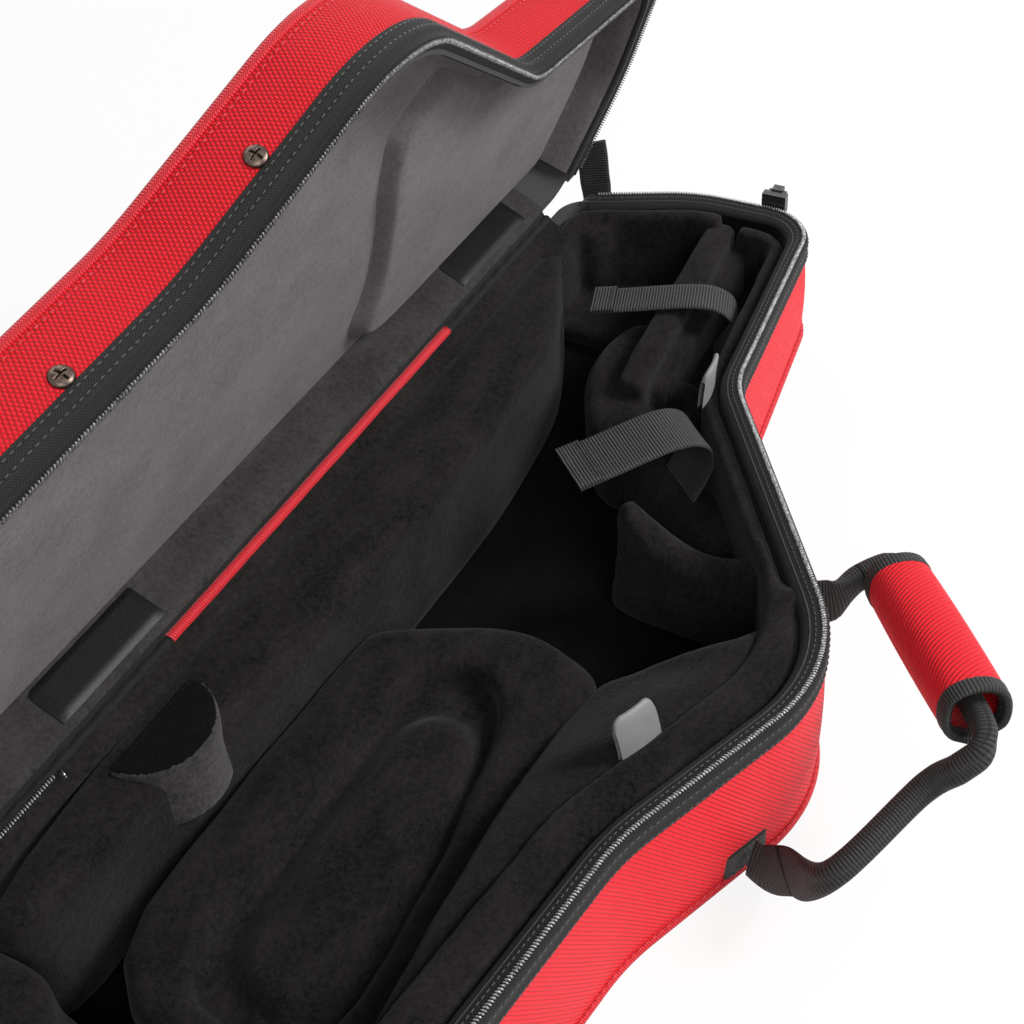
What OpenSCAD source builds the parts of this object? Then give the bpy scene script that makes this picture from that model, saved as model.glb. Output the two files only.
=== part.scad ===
// Contoured zip case for an alto saxophone, shown open.
// +X runs to the narrow end, +Y to the hinge side, +Z up.
// The case lies on its bottom panel at Z = 0, with the origin at the middle of that panel.

/* [Overall] */
// Length of the case
case_l = 640; // [560:10:780]
// Width across the bell bulge
bell_w = 264; // [240:2:320]
// Width at the waist
waist_w = 160; // [130:2:192]
// Width at the narrow end
far_w = 142; // [120:2:180]
// Width at the bow end
bow_w = 203; // [180:2:240]
// Height of the base, bottom to zip line
base_h = 90; // [75:1:110]
// Height of the lid, zip line to top
lid_h = 45; // [40:1:60]
// How far the bottom turns up by the narrow end
far_rise = 22; // [10:1:30]

/* [Outline] */
// Where the bell bulge is widest
bell_at = 10; // [0:1:20]
// How far the bulge corner stands out before it is rounded
bell_over = 12; // [8:1:16]
// Where the waist lies
waist_at = 165; // [150:1:185]
// Where the bulge runs out into the bow end
shoulder_at = -112; // [-130:1:-100]
// Width where the bulge runs out
shoulder_w = 228; // [215:1:240]
// How far the narrow end slants back at the hinge
far_slant = 34; // [20:1:45]
// Rounding of the bow corners
bow_round = 60; // [40:1:70]
// Rounding of the bulge
bell_round = 80; // [60:1:80]
// Where the bottom starts to turn up
rise_at = 120; // [100:1:150]

/* [Shell] */
// Thickness of the cover cloth
cloth_t = 1.2; // [0.8:0.1:2]
// Thickness of the stiff shell
shell_t = 5.8; // [4:0.1:8]
// Thickness of the plush lining
lining_t = 2; // [1:0.5:4]
// Height of the black tape under the zip
tape_h = 12; // [8:1:16]
// Width of the piping on the panel edges
piping_w = 3.5; // [3:0.5:6]
// Height of the piping
piping_h = 4; // [3:0.5:6]
// Height of one side of the zip
zip_h = 2.7; // [2:0.1:4]
// Width of one side of the zip
zip_w = 3; // [2:0.5:5]

/* [Lid] */
// Angle the lid stands open
lid_open = 70; // [20:1:90]
// Depth of the lid inside
lid_depth = 29; // [24:1:34]
// Thickness of the raised pad in the lid
lid_pad_t = 9; // [5:1:12]
// Length of a hook patch
patch_l = 70; // [50:1:90]
// Width of a hook patch
patch_w = 22; // [15:1:24]
// Distance from the zip line to the lid screws
screw_depth = 20; // [20:1:24]

/* [Interior] */
// Width of the padded bolster at its widest, from the hinge line
bolster_w = 57; // [50:1:62]
// Depth from the zip line to the bolster top
bolster_drop = 6; // [4:1:16]
// Thickness of the pad on the handle-side wall
side_pad_t = 10; // [6:1:12]
// Where the body cradle ends, towards the narrow end
cradle_end = 5; // [-8:1:8]
// Depth from the zip line to the cradle top
cradle_drop = 40; // [30:1:50]
// Depth of the cradle's channel
channel_deep = 18; // [12:1:26]
// Drop from the cradle top to the island in the channel
island_drop = 5; // [3:1:10]
// Length of the half-round plug
plug_l = 58; // [40:1:70]
// How far the plug stands out from the bolster
plug_out = 29; // [20:1:32]
// Width of the neck strap
neck_strap_w = 22; // [18:1:26]
// Width of the mouthpiece strap
mouth_strap_w = 32; // [25:1:36]
// Thickness of the strap webbing
web_t = 1.6; // [1:0.1:2.5]

/* [Handle] */
// Length of the wrapped grip
grip_l = 100; // [80:1:110]
// Radius of the wrapped grip
grip_r = 16; // [14:0.5:18]
// Radius of the rolled handle webbing
roll_r = 6; // [4:0.5:8]
// Length of the grip's bound ends
binding_l = 9; // [6:1:12]

/* [Fittings] */
// Width inside a carry ring
ring_w = 26; // [22:1:30]
// Wire radius of a carry ring
wire_r = 1.7; // [1.2:0.1:2.2]
// Radius of a lid screw's head
head_r = 4.6; // [4:0.1:5.5]
// Radius of a lid screw's shank
shank_r = 2; // [1.5:0.1:2.5]
// Length of a zip slider
slider_l = 14; // [10:1:18]
// Length of a zip pull
pull_l = 24; // [18:1:30]

/* [Hidden] */
$fn = 48;
far = 2000;
eps = 0.01;
// half the gap left between the two sides of the zip
zip_gap = 0.3;
// air between soft blocks
soft_gap = 0.6;
// air between pieces that move past each other
run_gap = 0.5;
half_l = case_l / 2;
hinge_y = bell_w / 2;
// the hinge axis lies in the middle of the wall, level with the zip
axis_y = hinge_y - 4;
axis_z = base_h;
// room cut out of both hinge-side walls around the piping
hinge_room = 6;
hinge_reach = 12;
inner = cloth_t + shell_t;
lined = inner + lining_t;
floor_t = cloth_t + 3.8;
floor_top = floor_t + lining_t;
rise_deg = atan(far_rise / (half_l - rise_at));
rim_z = base_h - zip_gap - zip_h;
lid_rim = zip_gap + zip_h;
lid_shell_top = lid_h - cloth_t;
lid_shell_low = lid_shell_top - 4;

// Corner points of the outline, each with its rounding radius.
corners = [
    [half_l - far_slant, hinge_y, 20],
    [half_l - 2, hinge_y - 70, 90],
    [half_l + 1, hinge_y - far_w, 30],
    [waist_at, hinge_y - waist_w, 50],
    [bell_at, -hinge_y - bell_over, bell_round],
    [shoulder_at, hinge_y - shoulder_w, 120],
    [-half_l, hinge_y - bow_w, bow_round],
    [-half_l, hinge_y, bow_round]
];

function unit(v) = v / norm(v);
function flat(v) = [v[0], v[1]];
function turn_left(v) = [-v[1], v[0]];
function corner(i) = corners[(i + len(corners)) % len(corners)];

// Arc that rounds one corner of the outline.
function arc_at(i, steps = 7) =
    let (p = flat(corner(i)), r = corner(i)[2],
         a = unit(flat(corner(i - 1)) - p), b = unit(flat(corner(i + 1)) - p),
         half = acos(a * b) / 2, reach = r / tan(half),
         centre = p + unit(a + b) * r / sin(half),
         from = p + a * reach, to = p + b * reach,
         u = from - centre, v = to - centre,
         sweep = acos(max(-1, min(1, unit(u) * unit(v)))),
         way = (u[0] * v[1] - u[1] * v[0]) > 0 ? 1 : -1)
    [for (k = [0 : steps]) let (t = way * sweep * k / steps)
        centre + [u[0] * cos(t) - u[1] * sin(t), u[0] * sin(t) + u[1] * cos(t)]];

outline_points = [for (i = [0 : len(corners) - 1]) each arc_at(i)];

// Point, direction and outward direction on the straight side after corner i, at a given X.
function side_dir(i) = unit(flat(corner(i + 1)) - flat(corner(i)));
function side_out(i) = turn_left(side_dir(i));
function side_at_x(i, x) =
    let (p = flat(corner(i)), d = side_dir(i)) p + d * (x - p[0]) / d[0];
function side_at_y(i, y) =
    let (p = flat(corner(i)), d = side_dir(i)) p + d * (y - p[1]) / d[1];
function up(p, z) = [p[0], p[1], z];
function angle_of(v) = atan2(v[1], v[0]);

// The outline moved outwards by d, or inwards if d is negative.
module outline(d = 0) {
    if (d == 0) polygon(outline_points);
    else offset(delta = d) polygon(outline_points);
}

module ring(outer, inner_d) {
    difference() {
        outline(outer);
        outline(inner_d);
    }
}

// Everything under a plane that runs level and then turns up towards the narrow end.
module under_bottom(z) {
    translate([-far / 2, -far / 2, z - far]) cube([far, far, far]);
    translate([rise_at, -far / 2, z]) rotate([0, -rise_deg, 0]) translate([0, 0, -far])
        cube([far, far, far]);
}

// A prism on the outline that starts at height z above the bottom panel and ends at top.
module above_bottom(z, top) {
    difference() {
        translate([0, 0, z]) linear_extrude(top - z) children();
        under_bottom(z);
    }
}

// A sheet that follows the bottom panel between two heights.
module along_bottom(z0, z1) {
    difference() {
        linear_extrude(z1 + far_rise * 2) children();
        under_bottom(z0);
        difference() {
            translate([-far / 2, -far / 2, -far / 2]) cube([far, far, far]);
            under_bottom(z1);
        }
    }
}

module slab(z0, z1) {
    translate([0, 0, z0]) linear_extrude(z1 - z0) children();
}

// Room around the hinge piping, cut out of the base and the lid.
module hinge_space() {
    translate([-far / 2, hinge_y - hinge_reach, axis_z - hinge_room])
        cube([far, far, hinge_room * 2]);
}

// Turns a piece from the closed lid's place to the open lid's.
module open_lid() {
    translate([0, axis_y, axis_z]) rotate([-lid_open, 0, 0]) translate([0, -axis_y, -axis_z])
        children();
}

function opened(p) =
    let (y = p[1] - axis_y, z = p[2] - axis_z)
    [p[0], axis_y + y * cos(lid_open) + z * sin(lid_open),
     axis_z - y * sin(lid_open) + z * cos(lid_open)];

// A cross-section carried along a path, with its width kept near one direction.
module sweep(path, across, section) {
    n = len(path);
    m = len(section);
    dir = [for (i = [0 : n - 1]) unit(path[min(i + 1, n - 1)] - path[max(i - 1, 0)])];
    side = [for (d = dir) unit(across - d * (across * d))];
    over = [for (i = [0 : n - 1]) cross(dir[i], side[i])];
    polyhedron(
        points = [for (i = [0 : n - 1], s = section) path[i] + side[i] * s[0] + over[i] * s[1]],
        faces = concat(
            [[for (k = [0 : m - 1]) m - 1 - k]],
            [[for (k = [0 : m - 1]) (n - 1) * m + k]],
            [for (i = [0 : n - 2], k = [0 : m - 1]) [i * m + k, i * m + (k + 1) % m, (i + 1) * m + k]],
            [for (i = [0 : n - 2], k = [0 : m - 1])
                [i * m + (k + 1) % m, (i + 1) * m + (k + 1) % m, (i + 1) * m + k]]
        )
    );
}

function strip(w, t) = [[-w / 2, -t / 2], [-w / 2, t / 2], [w / 2, t / 2], [w / 2, -t / 2]];
function round_bar(r, sides) = [for (k = [0 : sides - 1]) r * [cos(-360 * k / sides), sin(-360 * k / sides)]];

// Stands a piece made along +Z on point a, aimed at point b.
module aim(a, b) {
    v = b - a;
    translate(a) rotate([0, acos(v[2] / norm(v)), atan2(v[1], v[0])]) children();
}

// Places a piece made with its back on X = 0 and facing +X onto a wall.
module on_wall(p, out, z) {
    translate(up(p, z)) rotate([0, 0, angle_of(out)]) children();
}

// ---- base shell ----

module base_frame() {
    color("dimgray") difference() {
        union() {
            above_bottom(piping_h, rim_z) ring(-cloth_t, -inner);
            along_bottom(cloth_t, floor_t) outline(-piping_w);
        }
        hinge_space();
    }
}

module base_wall_cover() {
    color("crimson") difference() {
        above_bottom(piping_h, rim_z - tape_h) ring(0, -cloth_t);
        hinge_space();
    }
}

module base_bottom_cover() {
    color("crimson") along_bottom(0, cloth_t) outline(-piping_w);
}

module base_bottom_piping() {
    color("red") along_bottom(0, piping_h) ring(1, -piping_w);
}

module base_rim_tape() {
    color("black") difference() {
        slab(rim_z - tape_h, rim_z) ring(0.3, -cloth_t);
        hinge_space();
    }
}

module base_zip() {
    color("dimgray") difference() {
        slab(rim_z, rim_z + zip_h) ring(-1, -1 - zip_w);
        hinge_space();
    }
}

module base_wall_lining() {
    color("black") difference() {
        above_bottom(floor_top, rim_z + 1) ring(-inner, -lined);
        hinge_space();
    }
}

module base_floor_lining() {
    color("black") along_bottom(floor_t, floor_top) outline(-inner);
}

// Piping along the hinge line, on the hinge axis.
module hinge_piping() {
    l = case_l - far_slant - bow_round - 30;
    color("red") translate([-half_l + bow_round, axis_y, axis_z]) rotate([0, 90, 0])
        cylinder(h = l, r = 3);
}

// ---- lid shell, drawn closed and then turned open ----

module base_top(z0, z1) {
    translate([0, 0, base_h]) slab(z0, z1) children();
}

module lid_frame() {
    hole = shank_r + 0.1;
    color("dimgray") open_lid() difference() {
        union() {
            base_top(lid_rim, lid_h - piping_h) ring(-cloth_t, -inner);
            base_top(lid_shell_low, lid_shell_top) outline(-piping_w);
        }
        hinge_space();
        for (s = lid_screw_sites) screw_place(s) translate([-20, 0, 0]) rotate([0, 90, 0])
            cylinder(h = 30, r = hole);
    }
}

module lid_wall_cover() {
    hole = shank_r + 0.1;
    color("crimson") open_lid() difference() {
        base_top(lid_rim + tape_h, lid_h - piping_h) ring(0, -cloth_t);
        hinge_space();
        for (s = lid_screw_sites) screw_place(s) translate([-20, 0, 0]) rotate([0, 90, 0])
            cylinder(h = 30, r = hole);
    }
}

module lid_top_cover() {
    color("crimson") open_lid() base_top(lid_shell_top, lid_h) outline(-piping_w);
}

module lid_top_piping() {
    color("red") open_lid() base_top(lid_h - piping_h, lid_h) ring(1, -piping_w);
}

module lid_rim_tape() {
    color("black") open_lid() difference() {
        base_top(lid_rim, lid_rim + tape_h) ring(0.3, -cloth_t);
        hinge_space();
    }
}

module lid_zip() {
    color("dimgray") open_lid() difference() {
        base_top(zip_gap, zip_gap + zip_h) ring(-1, -1 - zip_w);
        hinge_space();
    }
}

module lid_wall_lining() {
    color("gray") open_lid() difference() {
        base_top(zip_gap + 2, lid_shell_low) ring(-inner, -lined);
        hinge_space();
        for (s = lid_screw_sites) screw_place(s) translate([-inner - plate_t, 0, 0])
            cube([8, plate_l, plate_h], center = true);
    }
}

module lid_panel_pad() {
    color("gray") open_lid() base_top(lid_depth, lid_shell_low) outline(-lined - soft_gap);
}

// Raised pad in the narrow half of the lid, with a wavy edge.
module lid_neck_pad() {
    x0 = waist_at - 75;
    color("dimgray") open_lid() base_top(lid_depth - lid_pad_t, lid_depth) intersection() {
        outline(-lined - soft_gap);
        polygon([
            [half_l + 9, -far], [half_l + 9, hinge_y - 30], [x0 + 110, hinge_y - 34],
            [x0 + 40, hinge_y - 40], [x0 + 4, hinge_y - 52], [x0, hinge_y - 70],
            [x0 + 14, hinge_y - 92], [x0 + 12, hinge_y - 118], [x0 + 30, -far]
        ]);
    }
}

// Strip of plush that covers the lid's hinge-side wall inside.
module lid_hinge_flap() {
    color("dimgray") open_lid()
        translate([-half_l + bow_round, hinge_y - lined - 2, base_h + hinge_room + 1])
        cube([case_l - far_slant - bow_round - 30, 1.4, lid_depth - hinge_room - 3]);
}

module hook_patch(x) {
    color("black") open_lid()
        translate([x - patch_l / 2, hinge_y - lined - 3.4, base_h + hinge_room + 1])
        cube([patch_l, 1.4, min(patch_w, lid_depth - hinge_room - 3)]);
}

patch_far_x = 205;
patch_bow_x = -132;

module hook_patch_far() hook_patch(patch_far_x);

module hook_patch_bow() hook_patch(patch_bow_x);

// Sites of the lid screws: the outline side and the X where each sits.
lid_screw_sites = [[5, -166], [4, -62]];
plate_t = 1.5;
plate_l = 20;
plate_h = 14;

module screw_place(s) {
    on_wall(side_at_x(s[0], s[1]), side_out(s[0]), base_h + screw_depth) children();
}

module lid_screw(s) {
    color("saddlebrown") open_lid() screw_place(s) rotate([0, 90, 0]) difference() {
        union() {
            translate([0, 0, 0]) cylinder(h = 1, r = head_r);
            translate([0, 0, 1]) cylinder(h = 1.6, r1 = head_r, r2 = head_r * 0.6);
            translate([0, 0, -inner - plate_t - 1]) cylinder(h = inner + plate_t + 1 + eps, r = shank_r);
        }
        for (a = [0, 90]) rotate([0, 0, a]) translate([-2.4, -0.45, 1.2]) cube([4.8, 0.9, 3]);
    }
}

module lid_screw_bow() lid_screw(lid_screw_sites[0]);

module lid_screw_bell() lid_screw(lid_screw_sites[1]);

// Steel plate behind a screw, inside the shell wall.
module screw_plate(s) {
    color("silver") open_lid() screw_place(s) difference() {
        translate([-inner - plate_t, -plate_l / 2 + 1, -plate_h / 2 + 1])
            cube([plate_t, plate_l - 2, plate_h - 2]);
        translate([-inner - plate_t - 1, 0, 0]) rotate([0, 90, 0]) cylinder(h = plate_t + 2, r = shank_r + 0.1);
    }
}

module screw_plate_bow() screw_plate(lid_screw_sites[0]);

module screw_plate_bell() screw_plate(lid_screw_sites[1]);

// Webbing stays that join the lid to the base at both ends.
stay_w = 18;
stay_gap = 0.5;
stay_far_y = hinge_y - 24;
stay_bow_y = hinge_y - 50;

// The strap lies outside both walls, with its width half turned between them.
module stay(i, y) {
    p = side_at_y(i, y) + side_out(i) * (1 + web_t / 2 + stay_gap);
    low = up(p, rim_z - 6);
    high = opened(up(p, base_h + lid_rim + 6));
    mid = (low + high) / 2 + up(side_out(i) * 5, -4);
    way = side_dir(i);
    color("black") sweep([low, (low + mid) / 2 + up(side_out(i) * 2.5, 0), mid,
        (mid + high) / 2 + up(side_out(i) * 2.5, 0), high],
        [way[0], way[1], -way[1] * tan(lid_open / 2)], strip(stay_w, web_t));
}

module stay_strap_far() stay(0, stay_far_y);

module stay_strap_bow() stay(6, stay_bow_y);

// ---- padding in the base ----

bolster_top = base_h - bolster_drop;
cradle_top = base_h - cradle_drop;
pad_in = lined + soft_gap;
pad_base = floor_top + soft_gap;
side_in = pad_in + side_pad_t + soft_gap;
// distance from the hinge line to the bolster's edge beside the cradle
bolster_side = bolster_w - 3;
plug_x = -half_l + 177;
plug_back = hinge_y - 22;
bow_pad_x = -half_l + 70;

// Long pad along the hinge, narrowing towards the narrow end, with a notch for the plug.
module hinge_side_bolster() {
    color("black") above_bottom(pad_base, bolster_top) intersection() {
        outline(-pad_in);
        difference() {
            polygon([
                [bow_pad_x, hinge_y], [bow_pad_x, hinge_y - 42], [plug_x - plug_l / 2, hinge_y - 42],
                [plug_x + plug_l / 2, hinge_y - bolster_side + 3], [-50, hinge_y - bolster_side],
                [20, hinge_y - bolster_w + 1], [84, hinge_y - bolster_w], [122, hinge_y - bolster_w + 3],
                [160, hinge_y - bolster_w + 6], [182, hinge_y - bolster_w + 10], [206, hinge_y - bolster_w + 19],
                [228, hinge_y - bolster_w + 31], [246, hinge_y - 14], [252, hinge_y]
            ]);
            translate([plug_x - plug_l / 2 - 1, plug_back - far + soft_gap]) square([plug_l + 2, far]);
        }
    }
}

// Padded lining of the narrow end, with two folds and a floor, round the mouthpiece pocket.
pocket_far_t = 9;
pocket_floor = base_h - 52;
rail_far = [half_l - 14, hinge_y - 91];
rail_near = [half_l - 155, hinge_y - 101];
rail_w = 17;
rail_top = base_h - 14;
rail_way = unit(rail_far - rail_near);
rail_left = turn_left(rail_way) * (rail_w / 2);

module far_end_pad() {
    color("black") difference() {
        above_bottom(pad_base, base_h - 5) intersection() {
            union() {
                intersection() {
                    ring(-pad_in, -pad_in - pocket_far_t);
                    translate([half_l - 66, -far]) square([far, far * 2]);
                }
                intersection() {
                    outline(-pad_in);
                    union() {
                        translate([half_l - 37, hinge_y - 21]) circle(r = 13);
                        translate([half_l - 16, hinge_y - 36]) circle(r = 8);
                    }
                }
            }
            beyond_rail(soft_gap);
        }
    }
}

// The plan on the hinge side of the rail, a gap away from it.
module beyond_rail(gap) {
    a = rail_near + rail_left * (1 + 2 * gap / rail_w);
    polygon([a - rail_way * far, a + rail_way * far, a + rail_way * far + [0, far], a - rail_way * far + [0, far]]);
}

// The plan on the handle side of the rail, a gap away from it.
module before_rail(gap) {
    a = rail_near - rail_left * (1 + 2 * gap / rail_w);
    polygon([a - rail_way * far, a + rail_way * far, a + rail_way * far - [0, far], a - rail_way * far - [0, far]]);
}

// Long rail that parts the main well from the neck channel, with a lower shoulder on the well side.
module neck_rail() {
    color("black") above_bottom(pad_base, rail_top) intersection() {
        outline(-pad_in);
        polygon([rail_near + rail_left, rail_near - rail_left, rail_near - rail_left + rail_way * far,
            rail_near + rail_left + rail_way * far]);
    }
    color("black") above_bottom(pad_base, base_h - 28) polygon([
        rail_near + rail_way * 4, rail_near + rail_way * 62, rail_near + [58, 27], rail_near + [41, 32], rail_near + [25, 33], rail_near + [3, 30],
        rail_near + [-19, 19], rail_near + [-34, 6], rail_near + [-34, -8]
    ]);
}

// Raised floor of the neck channel, closed by a round bridge at its near end.
channel_floor = base_h - 48;
bridge_r = 21;
bridge_t = 9;
bridge_c = rail_near - [2, 19];

module neck_channel_pad() {
    color("black") intersection() {
        union() {
            above_bottom(pad_base, channel_floor) outline(-side_in);
            above_bottom(pad_base, base_h - 30) intersection() {
                translate(bridge_c) difference() {
                    circle(r = bridge_r + bridge_t / 2);
                    circle(r = bridge_r - bridge_t / 2);
                }
                translate(bridge_c) square([far, far * 2]);
                outline(-side_in);
            }
        }
        slab(0, base_h) intersection() {
            before_rail(soft_gap);
            translate([rail_near[0] - 13, -far]) square([far, far * 2]);
        }
    }
}

// Pad that lines the handle-side wall from the narrow end round to the bow end.
module handle_side_pad() {
    color("black") above_bottom(pad_base, base_h - 8) intersection() {
        ring(-pad_in, -pad_in - side_pad_t);
        translate([bow_pad_x + soft_gap, -far]) square([far, far * 2]);
        before_rail(soft_gap);
    }
}

// Foam wall with a saddle-shaped top that parts the bell pocket from the mouthpiece trough.
saddle_r = 41;
saddle_y = hinge_y - 183;
saddle_low = base_h - 30;

module pointed_block() {
    color("black") difference() {
        above_bottom(pad_base, base_h - 8) intersection() {
            outline(-side_in);
            polygon([[70, saddle_y + 47], [84, saddle_y + 40], [90, saddle_y + 20], [86, saddle_y - 12],
                [80, saddle_y - 34], [70, saddle_y - 60], [46, -far], [14, -far], [30, saddle_y - 60],
                [50, saddle_y - 46], [58, saddle_y - 33], [61, saddle_y - 10], [62, saddle_y + 20]]);
        }
        translate([-far / 2, saddle_y, saddle_low + saddle_r]) rotate([0, 90, 0]) cylinder(h = far, r = saddle_r);
    }
}

// Low trough floor that slants from the mouthpiece strap to a raised round lip.
trough_w = 24;
trough_a = [132, hinge_y - 128];
trough_b = [108, hinge_y - 172];

module trough_pad() {
    color("black") difference() {
        union() {
            above_bottom(pad_base, base_h - 45) intersection() {
                outline(-side_in);
                hull() {
                    translate(trough_a) circle(r = trough_w / 2);
                    translate(trough_b) circle(r = trough_w / 2);
                }
            }
            above_bottom(pad_base, base_h - 37) intersection() {
                outline(-side_in);
                translate(trough_b) circle(r = trough_w / 2 - 3);
            }
        }
        block_room();
    }
}

// Room kept for the foam wall and for the neck rail's shoulder.
module block_room() {
    translate([0, 0, -far / 2]) linear_extrude(far) polygon([[-far, -far], [46, -far], [70 + soft_gap, saddle_y - 60],
        [80 + soft_gap, saddle_y - 34], [86 + soft_gap, saddle_y - 12], [90 + soft_gap, saddle_y + 20],
        [84 + soft_gap, saddle_y + 40], [-far, saddle_y + 60]]);
    translate([0, 0, -far / 2]) linear_extrude(far) polygon([
        rail_near + [-34 - soft_gap, -8.5 - soft_gap], rail_near - rail_left - [0, soft_gap],
        rail_near + [far, 0], rail_near + [0, far], rail_near + [-34 - soft_gap, far]
    ]);
    translate([rail_near[0] - 13 - soft_gap, -far / 2, -far / 2]) cube([far, far, far]);
}

// Sloping pad that edges the bell pocket and falls from the handle-side wall to the cradle.
slope_top = base_h - 11;
slope_deg = 25;

module bell_ridge() {
    color("black") difference() {
        above_bottom(pad_base, slope_top) intersection() {
            outline(-side_in);
            polygon([[cradle_end - 18, hinge_y - 170], [cradle_end - 10, hinge_y - 176],
                [cradle_end - 2, hinge_y - 186], [cradle_end + 3, hinge_y - 198], [cradle_end + 6, hinge_y - 212],
                [cradle_end + 10, hinge_y - 224], [cradle_end + 18, hinge_y - 232], [cradle_end + 6, -far],
                [bow_pad_x + soft_gap, -far], [bow_pad_x + soft_gap, hinge_y - 180], [-150, hinge_y - 172],
                [-80, hinge_y - 168], [-40, hinge_y - 166]]);
        }
        on_wall(side_at_x(4, -45), side_out(4), 0) translate([-34, 0, slope_top + 1]) rotate([0, -slope_deg, 0])
            translate([-far, -far, 0]) cube([far, far * 2, far]);
    }
}

// Cradle for the instrument's body, with a channel round a raised island.
hollow_edge = [[-232, hinge_y - 86], [-120, hinge_y - 86], [-70, hinge_y - 87], [-46, hinge_y - 92],
    [-33, hinge_y - 106], [-34, hinge_y - 124], [-50, hinge_y - 137], [-90, hinge_y - 146],
    [-150, hinge_y - 154], [-232, hinge_y - 157]];
island_edge = [[-216, hinge_y - 95], [-120, hinge_y - 95], [-78, hinge_y - 97], [-64, hinge_y - 106],
    [-64, hinge_y - 122], [-76, hinge_y - 131], [-120, hinge_y - 135], [-216, hinge_y - 140]];

module body_cradle() {
    side = hinge_y - bolster_side - soft_gap;
    color("black") difference() {
        above_bottom(pad_base, cradle_top) intersection() {
            outline(-side_in);
            polygon([[bow_pad_x + soft_gap, hinge_y - 180 + soft_gap], [bow_pad_x + soft_gap, side - 1],
                [cradle_end - 41, side - 1], [cradle_end - 17, hinge_y - 84], [cradle_end - 5, hinge_y - 108],
                [cradle_end, hinge_y - 130], [cradle_end - 7, hinge_y - 154],
                [cradle_end - 18, hinge_y - 170 + soft_gap], [-40, hinge_y - 166 + soft_gap],
                [-80, hinge_y - 168 + soft_gap], [-150, hinge_y - 172 + soft_gap]]);
        }
        translate([0, 0, cradle_top - island_drop]) linear_extrude(far) polygon(hollow_edge);
        translate([0, 0, cradle_top - channel_deep]) linear_extrude(far) difference() {
            polygon(hollow_edge);
            polygon(island_edge);
        }
    }
}

// Half-round foam plug that stands in the bolster's notch.
module half_round_plug() {
    color("dimgray") translate([plug_x, plug_back, cradle_top + soft_gap]) intersection() {
        cylinder(h = base_h - 4 - cradle_top - soft_gap, r = plug_l / 2);
        translate([-plug_l, -plug_out, 0]) cube([plug_l * 2, plug_out, base_h]);
    }
}

module bow_end_pad() {
    color("black") above_bottom(pad_base, base_h - 14) intersection() {
        outline(-pad_in);
        translate([-far, -far]) square([far + bow_pad_x, far * 2]);
    }
}

// Small folded pull tabs on the padding.
module pull_tab(p, turn) {
    color("gray") translate(p) rotate([0, 0, turn]) difference() {
        translate([-11, -1.5, 0]) cube([22, 3, 20]);
        translate([-12, -0.5, -1]) cube([24, 1, 18]);
    }
}

tab_waist = up(side_at_x(2, waist_at - 5) - side_out(2) * (pad_in + side_pad_t / 2), base_h - 8 + soft_gap);
tab_bell = up(side_at_x(4, -73) - side_out(4) * 33, slope_top + soft_gap);

module waist_tab() pull_tab(tab_waist, angle_of(side_dir(2)));

module bell_tab() pull_tab(tab_bell, angle_of(side_dir(4)));

// ---- straps inside ----

neck_root = [half_l - 84, hinge_y - 119, channel_floor + soft_gap];
mouth_root = [waist_at - 37, hinge_y - waist_w + 13, base_h - 45 + soft_gap];
neck_turn = 19;
mouth_turn = 50;
neck_reach = 68;
mouth_reach = 62;
riser_h = 36;
bend_y = -5;

// A sewn root with a riser of webbing, drawn along +Y, that ends under the strap's bend.
module strap_root(p, turn, w) {
    color("black") translate(p) rotate([0, 0, turn]) union() {
        translate([-w / 2 - 2, -4, 0]) cube([w + 4, 8, 3]);
        sweep([[0, 0, 1], [0, -3, 10], [0, bend_y - 1, riser_h - 16], [0, bend_y, riser_h - 2 * web_t]],
            [1, 0, 0], strip(w, web_t));
    }
}

module neck_strap_root() strap_root(neck_root, neck_turn, neck_strap_w);

module mouth_strap_root() strap_root(mouth_root, mouth_turn, mouth_strap_w);

// The part of a strap that lies over, from its bend to its free end.
module strap_flap(p, turn, w, reach) {
    color("black") translate(p) rotate([0, 0, turn]) sweep([
        [0, bend_y, riser_h - web_t], [0, bend_y + 3, riser_h + 1], [0, bend_y + 10, riser_h + 1.6],
        [0, reach * 0.5, riser_h], [0, reach * 0.8, riser_h - 2], [0, reach, riser_h - 4.4]
    ], [1, 0, 0], strip(w, web_t));
}

module neck_strap() strap_flap(neck_root, neck_turn, neck_strap_w, neck_reach);

module mouth_strap() strap_flap(mouth_root, mouth_turn, mouth_strap_w, mouth_reach);

// ---- side handle ----

handle_far_x = 57;
handle_near_x = -45;
handle_far_z = base_h - 24;
handle_near_z = 12;
wall_far = side_at_x(3, handle_far_x);
wall_near = side_at_x(4, handle_near_x);
far_out = side_out(3);
near_out = side_out(4);
// air between a sewn anchor and the end of the webbing in front of it
anchor_t = 2;
anchor_gap = 2.6;
pivot_far = up(wall_far + far_out * (anchor_t + anchor_gap + 0.4), handle_far_z);
pivot_near = up(wall_near + near_out * (anchor_t + anchor_gap + 1.4), handle_near_z);
grip_far = up(wall_far + far_out * 40, base_h - 15);
grip_way = unit([-0.78, -0.61, 0.17]);
grip_near = grip_far + grip_way * grip_l;

handle_path = [
    pivot_far, up(wall_far + far_out * 13, handle_far_z),
    up(wall_far + far_out * 25 - flat(grip_way) * 7, base_h - 20), grip_far - grip_way * 9, grip_far,
    grip_near, grip_near + grip_way * 5, grip_near + [-13, -6, -2], grip_near + [-20, 0, -10], grip_near + [-27, 12, -23],
    up(wall_near + near_out * 48, handle_near_z + 34), up(wall_near + near_out * 24, handle_near_z + 11),
    up(wall_near + near_out * 13, handle_near_z), pivot_near
];

module handle_webbing() {
    color("black") sweep(handle_path, [0.2, 0.1, 1], round_bar(roll_r, 10));
}

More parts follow.
